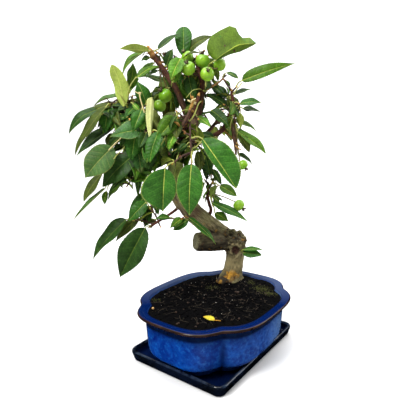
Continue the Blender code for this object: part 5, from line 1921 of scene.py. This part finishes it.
def lay_stalks(stalks):
    """The listed stalks and shoots, each from the limb nearest to its foot."""
    kinds = {"green": 0, "red": 1, "cream": 2, "golden": 3, "brown": 4}
    for kind, radii, places in STALKS:
        places = [Vector(p) for p in places]
        near = nearest_limb(places[0])
        if (near.xyz - places[0]).length < 24:
            places.insert(0, near.xyz)
            radii = (radii[0], *radii)
        line = smooth_line([Vector((*p, r)) for p, r in zip(places, radii)], 4)
        thick = [p.w * (1.1 if k % 4 == 0 else 0.97) for k, p in enumerate(line)]
        stalks.add(*tube([p.xyz for p in line], thick, TWIG_FINE_SIDES), kinds[kind])


def torn_leaf(heap, leaf):
    """The broad leaf at the top of the crown, its back to the front, torn beside its tip."""
    rows = len(TORN_RIB)
    shares = (-1, -0.5, -0.06, 0, 0.03, 0.3, 0.6, 0.92, 1)
    count = len(shares)
    seen = []
    for row, rib in enumerate(TORN_RIB):
        for share in shares:
            rim = (TORN_HIGH if share > 0 else TORN_LOW)[row]
            tooth = 0.5 * (row % 2) if abs(share) == 1 and row < rows - 1 else 0
            reach = abs(share) - tooth * 0.04
            right, up = [a + (b - a) * reach for a, b in zip(rib, rim)]
            back = (9 if share > 0 else 7) * share * share + 1.2 * math.sin(math.pi * abs(share))
            back += 0.9 * math.sin(row * 2.1) * math.sin(math.pi * abs(share))
            seen.append(slid(Vector((right, TORN_DEPTH, up)), back - (0.8 if share == 0 else 0)))
    behind = [slid(point, 0.5) for point in seen]
    faces, kinds = [], []
    for start in range(0, (rows - 1) * count, count):
        for c in range(count - 1):
            quad = (start + c, start + count + c, start + count + c + 1, start + c + 1)
            faces += [quad, tuple(k + rows * count for k in reversed(quad))]
            kinds += [RIB if abs(shares[c] + shares[c + 1]) < 0.07 else BACK, TOP]
    edge = [row * count for row in range(rows)] + [rows * count - count + c for c in range(1, count)]
    edge += [row * count + count - 1 for row in range(rows - 2, -1, -1)] + list(range(count - 2, 0, -1))
    for a, b in zip(edge, edge[1:] + edge[:1]):
        faces.append((b, a, a + rows * count, b + rows * count))
        kinds.append(EDGE)
    heap.add(seen + behind, faces, kinds)
    return leaf._replace(root=Vector(TORN_ROOT), foot=seen[3], tip=seen[-1])


def pod(foot, way, length, width):
    """A pointed bud."""
    way = Vector(way).normalized()
    line = [Vector(foot) + way * length * k / 4 for k in range(5)]
    return tube(line, [width * s for s in (0.55, 1.0, 0.85, 0.5, 0.06)], 6)


def make_twigs(masses):
    """The twigs, with a scar ring at each node, and the buds at their ends."""
    brown = speckled("twig_bark", (46, 26, 20), (92, 60, 42), 0.7, 260)
    scales = speckled("bud_scale", (150, 88, 26), (206, 160, 72), 0.6, 500)
    dull = speckled("dull_bud", (84, 66, 34), (122, 104, 54), 0.7, 500)
    twigs = Gathered("twigs", "bark", brown)
    rot = speckled("leaf_spot", (60, 34, 14), (84, 52, 22), 0.8)
    buds = Gathered("buds", "bark", scales, dull, rot)
    for mass in masses:
        for line, first, last in mass.twigs:
            smooth = smooth_line(line, 4)
            radii = [r * (0.96 if k % 3 else 1.12) for k, r in enumerate(tapered(smooth, first, last))]
            twigs.add(*tube(smooth, radii, TWIG_FINE_SIDES))
            way = (smooth[-1] - smooth[-2]).normalized()
            buds.add(*pod(smooth[-1] - way * 0.5, way, 2.2 + last, last * 1.15), int(last < 0.9))
    for limb in LIMBS:
        way = Vector(limb.stem_line[-1]) - Vector(limb.stem_line[-2])
        buds.add(*pod(limb.stem_line[-1], way, 4.6, limb.radii[2] * 0.8))
    for foot, way, length in BUDS:
        end = Vector(foot)
        near = nearest_limb(end).xyz
        twigs.add(*tube([near, near.lerp(end, 0.6), end], [1.5, 1.3, 1.1], TWIG_FINE_SIDES))
        buds.add(*pod(foot, way, length, 1.5))
    for x, z in TORN_SPOTS:
        spot = slid(Vector((x, TORN_DEPTH, z)), 2.5)
        buds.add(*egg(spot, (1.3, 0.7, 1.9), 5, 8), 2)
    twigs.piece(TO_ROW, [mass.name for mass in masses])
    buds.piece(TO_ROW)


def make_fruit(masses):
    """Round green fruit on their stalks, with the dried remains of the flower at the eye."""
    skin = Gathered("fruit", "leaves_and_fruit", fruit_finish())
    stalks = Gathered("fruit_stalks", "bark",
                      speckled("fruit_stalk", (104, 110, 52), (124, 92, 50), 0.55),
                      speckled("dry_stalk", (84, 52, 26), (166, 122, 52), 0.7))
    husks = Gathered("flower_remains", "bark",
                     speckled("dried_sepal", (52, 38, 28), (96, 78, 56), 0.8),
                     speckled("dried_hair", (176, 164, 130), (206, 196, 168), 0.8))
    rng = random.Random(11)
    for mass in masses:
        for line, centre, radius, index in mass.fruit:
            eye = Vector(EYES[mass.name][index]).normalized()
            side = eye.orthogonal().normalized()
            skin.add(*apple(centre, radius, eye, side))
            foot = centre - eye * radius * 0.72
            bow = (line[0] + foot) / 2 + Vector((0, 0, 2))
            line = smooth_line([line[0], bow, foot - eye * 2.5, foot], 4)
            stalks.add(*tube(line, tapered(line, 1.0, 0.75), STALK_FINE_SIDES))
            size = radius * (0.52 if eye.z < 0 else 0.4)
            add_eye(husks, rng, centre + eye * radius * 0.9, eye, side, size)
    for place, eye, root in DRIED_EYES:
        eye = Vector(eye).normalized()
        line = smooth_line([Vector(root), Vector(place) - eye * 9, Vector(place)], 4)
        stalks.add(*tube(line, tapered(line, 1.5, 1.0), STALK_FINE_SIDES), 1)
        add_eye(husks, rng, Vector(place), eye, eye.orthogonal().normalized(), 3.6)
    skin.piece(TO_ROW, [mass.name for mass in masses if mass.fruit])
    stalks.piece(TO_ROW)
    husks.piece(TO_ROW)


def apple(centre, radius, eye, side):
    """A small fruit: dimpled at stalk and eye, faintly five-sided near the eye."""
    points, faces = ball(Vector((0, 0, 0)), 1, 20, 28)
    up = eye.cross(side)
    placed = []
    for p in points:
        angle = math.atan2(p.y, p.x)
        near = max(0.0, p.z) ** 3
        girth = 1 + 0.03 * near * math.cos(5 * angle) - 0.05 * max(0.0, -p.z) ** 2
        dimples = 0.14 * math.exp(-((1 + p.z) / 0.07)) - 0.16 * math.exp(-((1 - p.z) / 0.10))
        height = p.z * 0.97 + dimples
        placed.append(centre + radius * (side * p.x * girth + up * p.y * girth + eye * height))
    return placed, faces


def add_eye(husks, rng, foot, eye, side, size):
    """Five dry sepals round a tuft of pale hairs."""
    up = eye.cross(side)
    husks.add(*tube([foot - eye * size * 0.4, foot + eye * size * 0.35], [size * 0.55, size * 0.4], 8))
    for k in range(5):
        angle = math.tau * k / 5 + rng.uniform(-0.2, 0.2)
        out = side * math.cos(angle) + up * math.sin(angle)
        lean = rng.uniform(0.35, 0.9)
        middle = foot + out * size * 0.55 + eye * size * 0.5
        end = foot + out * size * (0.6 + 0.6 * lean) + eye * size * (1.5 - 0.7 * lean)
        husks.add(*tube([foot + out * size * 0.3, middle, end], [size * 0.3, size * 0.24, size * 0.05], 4))
    for _ in range(9):
        out = side * rng.uniform(-0.4, 0.4) + up * rng.uniform(-0.4, 0.4)
        husks.add(*tube([foot + out * size, foot + out * size * 1.5 + eye * size * rng.uniform(0.8, 1.5)],
                        [0.14, 0.08], 3), 1)


def make_fallen_leaf():
    """The yellow leaf that lies on the soil by the front of the pot."""
    foot, tip, end = [on_soil(x, y, 0.0012) for x, y in FALLEN]
    finishes = [leaf_finish("fallen_" + part, colour, 0.45)
                for part, colour in (("top", (206, 186, 52)), ("back", (206, 184, 70)),
                                     ("rib", (214, 150, 40)), ("vein", (180, 186, 76)),
                                     ("edge", (226, 158, 44)))]
    heap = Gathered("fallen_leaf", "leaves_and_fruit", *finishes)
    leaf = Leaf(end / MM, foot / MM, tip / MM, Vector((-0.15, -0.05, 1)).normalized(), 8, 0.06, True)
    manner = manner_of(random.Random(3), True)
    faces, kinds = TOPOLOGY["usual"]
    heap.add(blade_points(leaf, FORMS["usual"], manner), faces, kinds)
    points, faces = tube([end / MM, (foot + end) / 2 / MM, foot / MM + Vector((0, 1, 0))],
                         [0.35, 0.4, 0.35], STALK_FINE_SIDES)
    heap.add(points, faces, 2)
    heap.piece(Matrix.Scale(MM, 4))


def studio(right, away, up):
    """A place in the studio, in metres, as the camera sees it from the foot of the trunk."""
    return Matrix.Rotation(CAMERA_TURN, 3, "Z") @ Vector((right, away, up)) + Vector((*FOOT, 0))


def make_stage():
    """A pale sweep of floor and backdrop, soft lights and the photograph's camera."""
    bend = [math.radians(k * 9) for k in range(11)]
    profile = [(-5, 0), (-1, 0)] + [(1.7 + 0.9 * math.sin(t), 0.9 - 0.9 * math.cos(t)) for t in bend]
    profile += [(2.6, 4)]
    sweep = bpy.data.meshes.new("sweep")
    points = [studio(x, away, up) for away, up in profile for x in (-5, 5)]
    faces = [(k, k + 1, k + 3, k + 2) for k in range(0, len(points) - 2, 2)]
    sweep.from_pydata(points, [], faces)
    sweep.shade_smooth()
    floor = bpy.data.objects.new("floor", sweep)
    bpy.context.scene.collection.objects.link(floor)
    floor.data.materials.append(Finish("pale_floor", (238, 238, 238), 0.8, Specular_IOR_Level=0.1).material)
    floor.visible_glossy = False
    world = bpy.data.worlds.new("studio")
    bpy.context.scene.world = world
    world.use_nodes = True
    world.node_tree.nodes["Background"].inputs["Color"].default_value = (1, 1, 1, 1)
    world.node_tree.nodes["Background"].inputs["Strength"].default_value = 0.3
    world.cycles_visibility.glossy = False
    middle = studio(-0.03, 0, 0.2)
    for name, place, aim, size, power in (
        ("key", studio(-0.7, -0.8, 1.2), middle, 0.45, 19),
        ("top", studio(-0.1, -0.45, 1.5), middle, 1.1, 14),
        ("side", studio(1.1, 0.3, 0.8), middle, 0.7, 8),
        ("backdrop", studio(0, 0.9, 1.9), studio(0, 2.4, 0.5), 2.2, 80),
    ):
        bpy.ops.object.light_add(type="AREA", location=place)
        light = bpy.context.object
        light.name = name
        light.data.size = size
        light.data.energy = power
        light.rotation_euler = (aim - place).to_track_quat("-Z", "Y").to_euler()
    camera = bpy.data.objects.new("camera", bpy.data.cameras.new("camera"))
    bpy.context.scene.collection.objects.link(camera)
    camera.location = CAMERA_PLACE
    camera.rotation_euler = (math.pi / 2 - CAMERA_DROP, 0, CAMERA_TURN)
    camera.data.lens = LENS
    camera.data.clip_start = 0.01
    bpy.context.scene.camera = camera
    bpy.context.scene.view_settings.view_transform = "Standard"


def hides(leaf):
    """Whether a small leaf stands before the fruit or the bare shoot, or in a gap of the crown."""
    way = leaf.tip - leaf.foot
    side = way.cross(leaf.normal).normalized() * leaf.width / 3
    for part in (0.15, 0.4, 0.65, 0.9):
        for place in (leaf.foot + way * part - side, leaf.foot + way * part + side):
            right, up = seen_from_front(place)
            if any(in_oval(right, up, oval) and place.y < depth for *oval, depth in OPENED):
                return True
    return False


def grow_plant():
    """The masses of the crown, from the stems that part from the boughs."""
    limbs = [solid_of(shape) for shape in trunk_room()]
    stems = []
    for limb in LIMBS:
        way, line, radii, stem, stem_radii = split_limb(limb)
        limbs.append(solid_of(bough_room(line, radii, way)))
        stems.append((limb.mass, stem, stem_radii, way))
    knob = smooth_line(KNOB_STEM, 2)
    stems.append(("knob_leaves", knob, tapered(knob, 2.2, 2.0), None))
    masses = grow_crown(limbs, stems)
    for mass in masses:
        mass.blades = [blade for blade in mass.blades if blade[0].fine or not hides(blade[0])]
    by_name = {mass.name: mass for mass in masses}
    for name, root, foot, tip, width, look in EXTRAS:
        leaf = Leaf(Vector(root), Vector(foot), Vector(tip), Vector((0, -0.8, 0.6)), width, 0.08, False)
        by_name[name].blades.append((leaf, look, "usual"))
    return masses


def main():
    make_stage()
    make_tray()
    make_pot()
    make_soil()
    make_soil_litter()
    make_fallen_leaf()
    masses = grow_plant()
    make_wood()
    make_twigs(masses)
    make_leaves(masses)
    make_fruit(masses)


main()
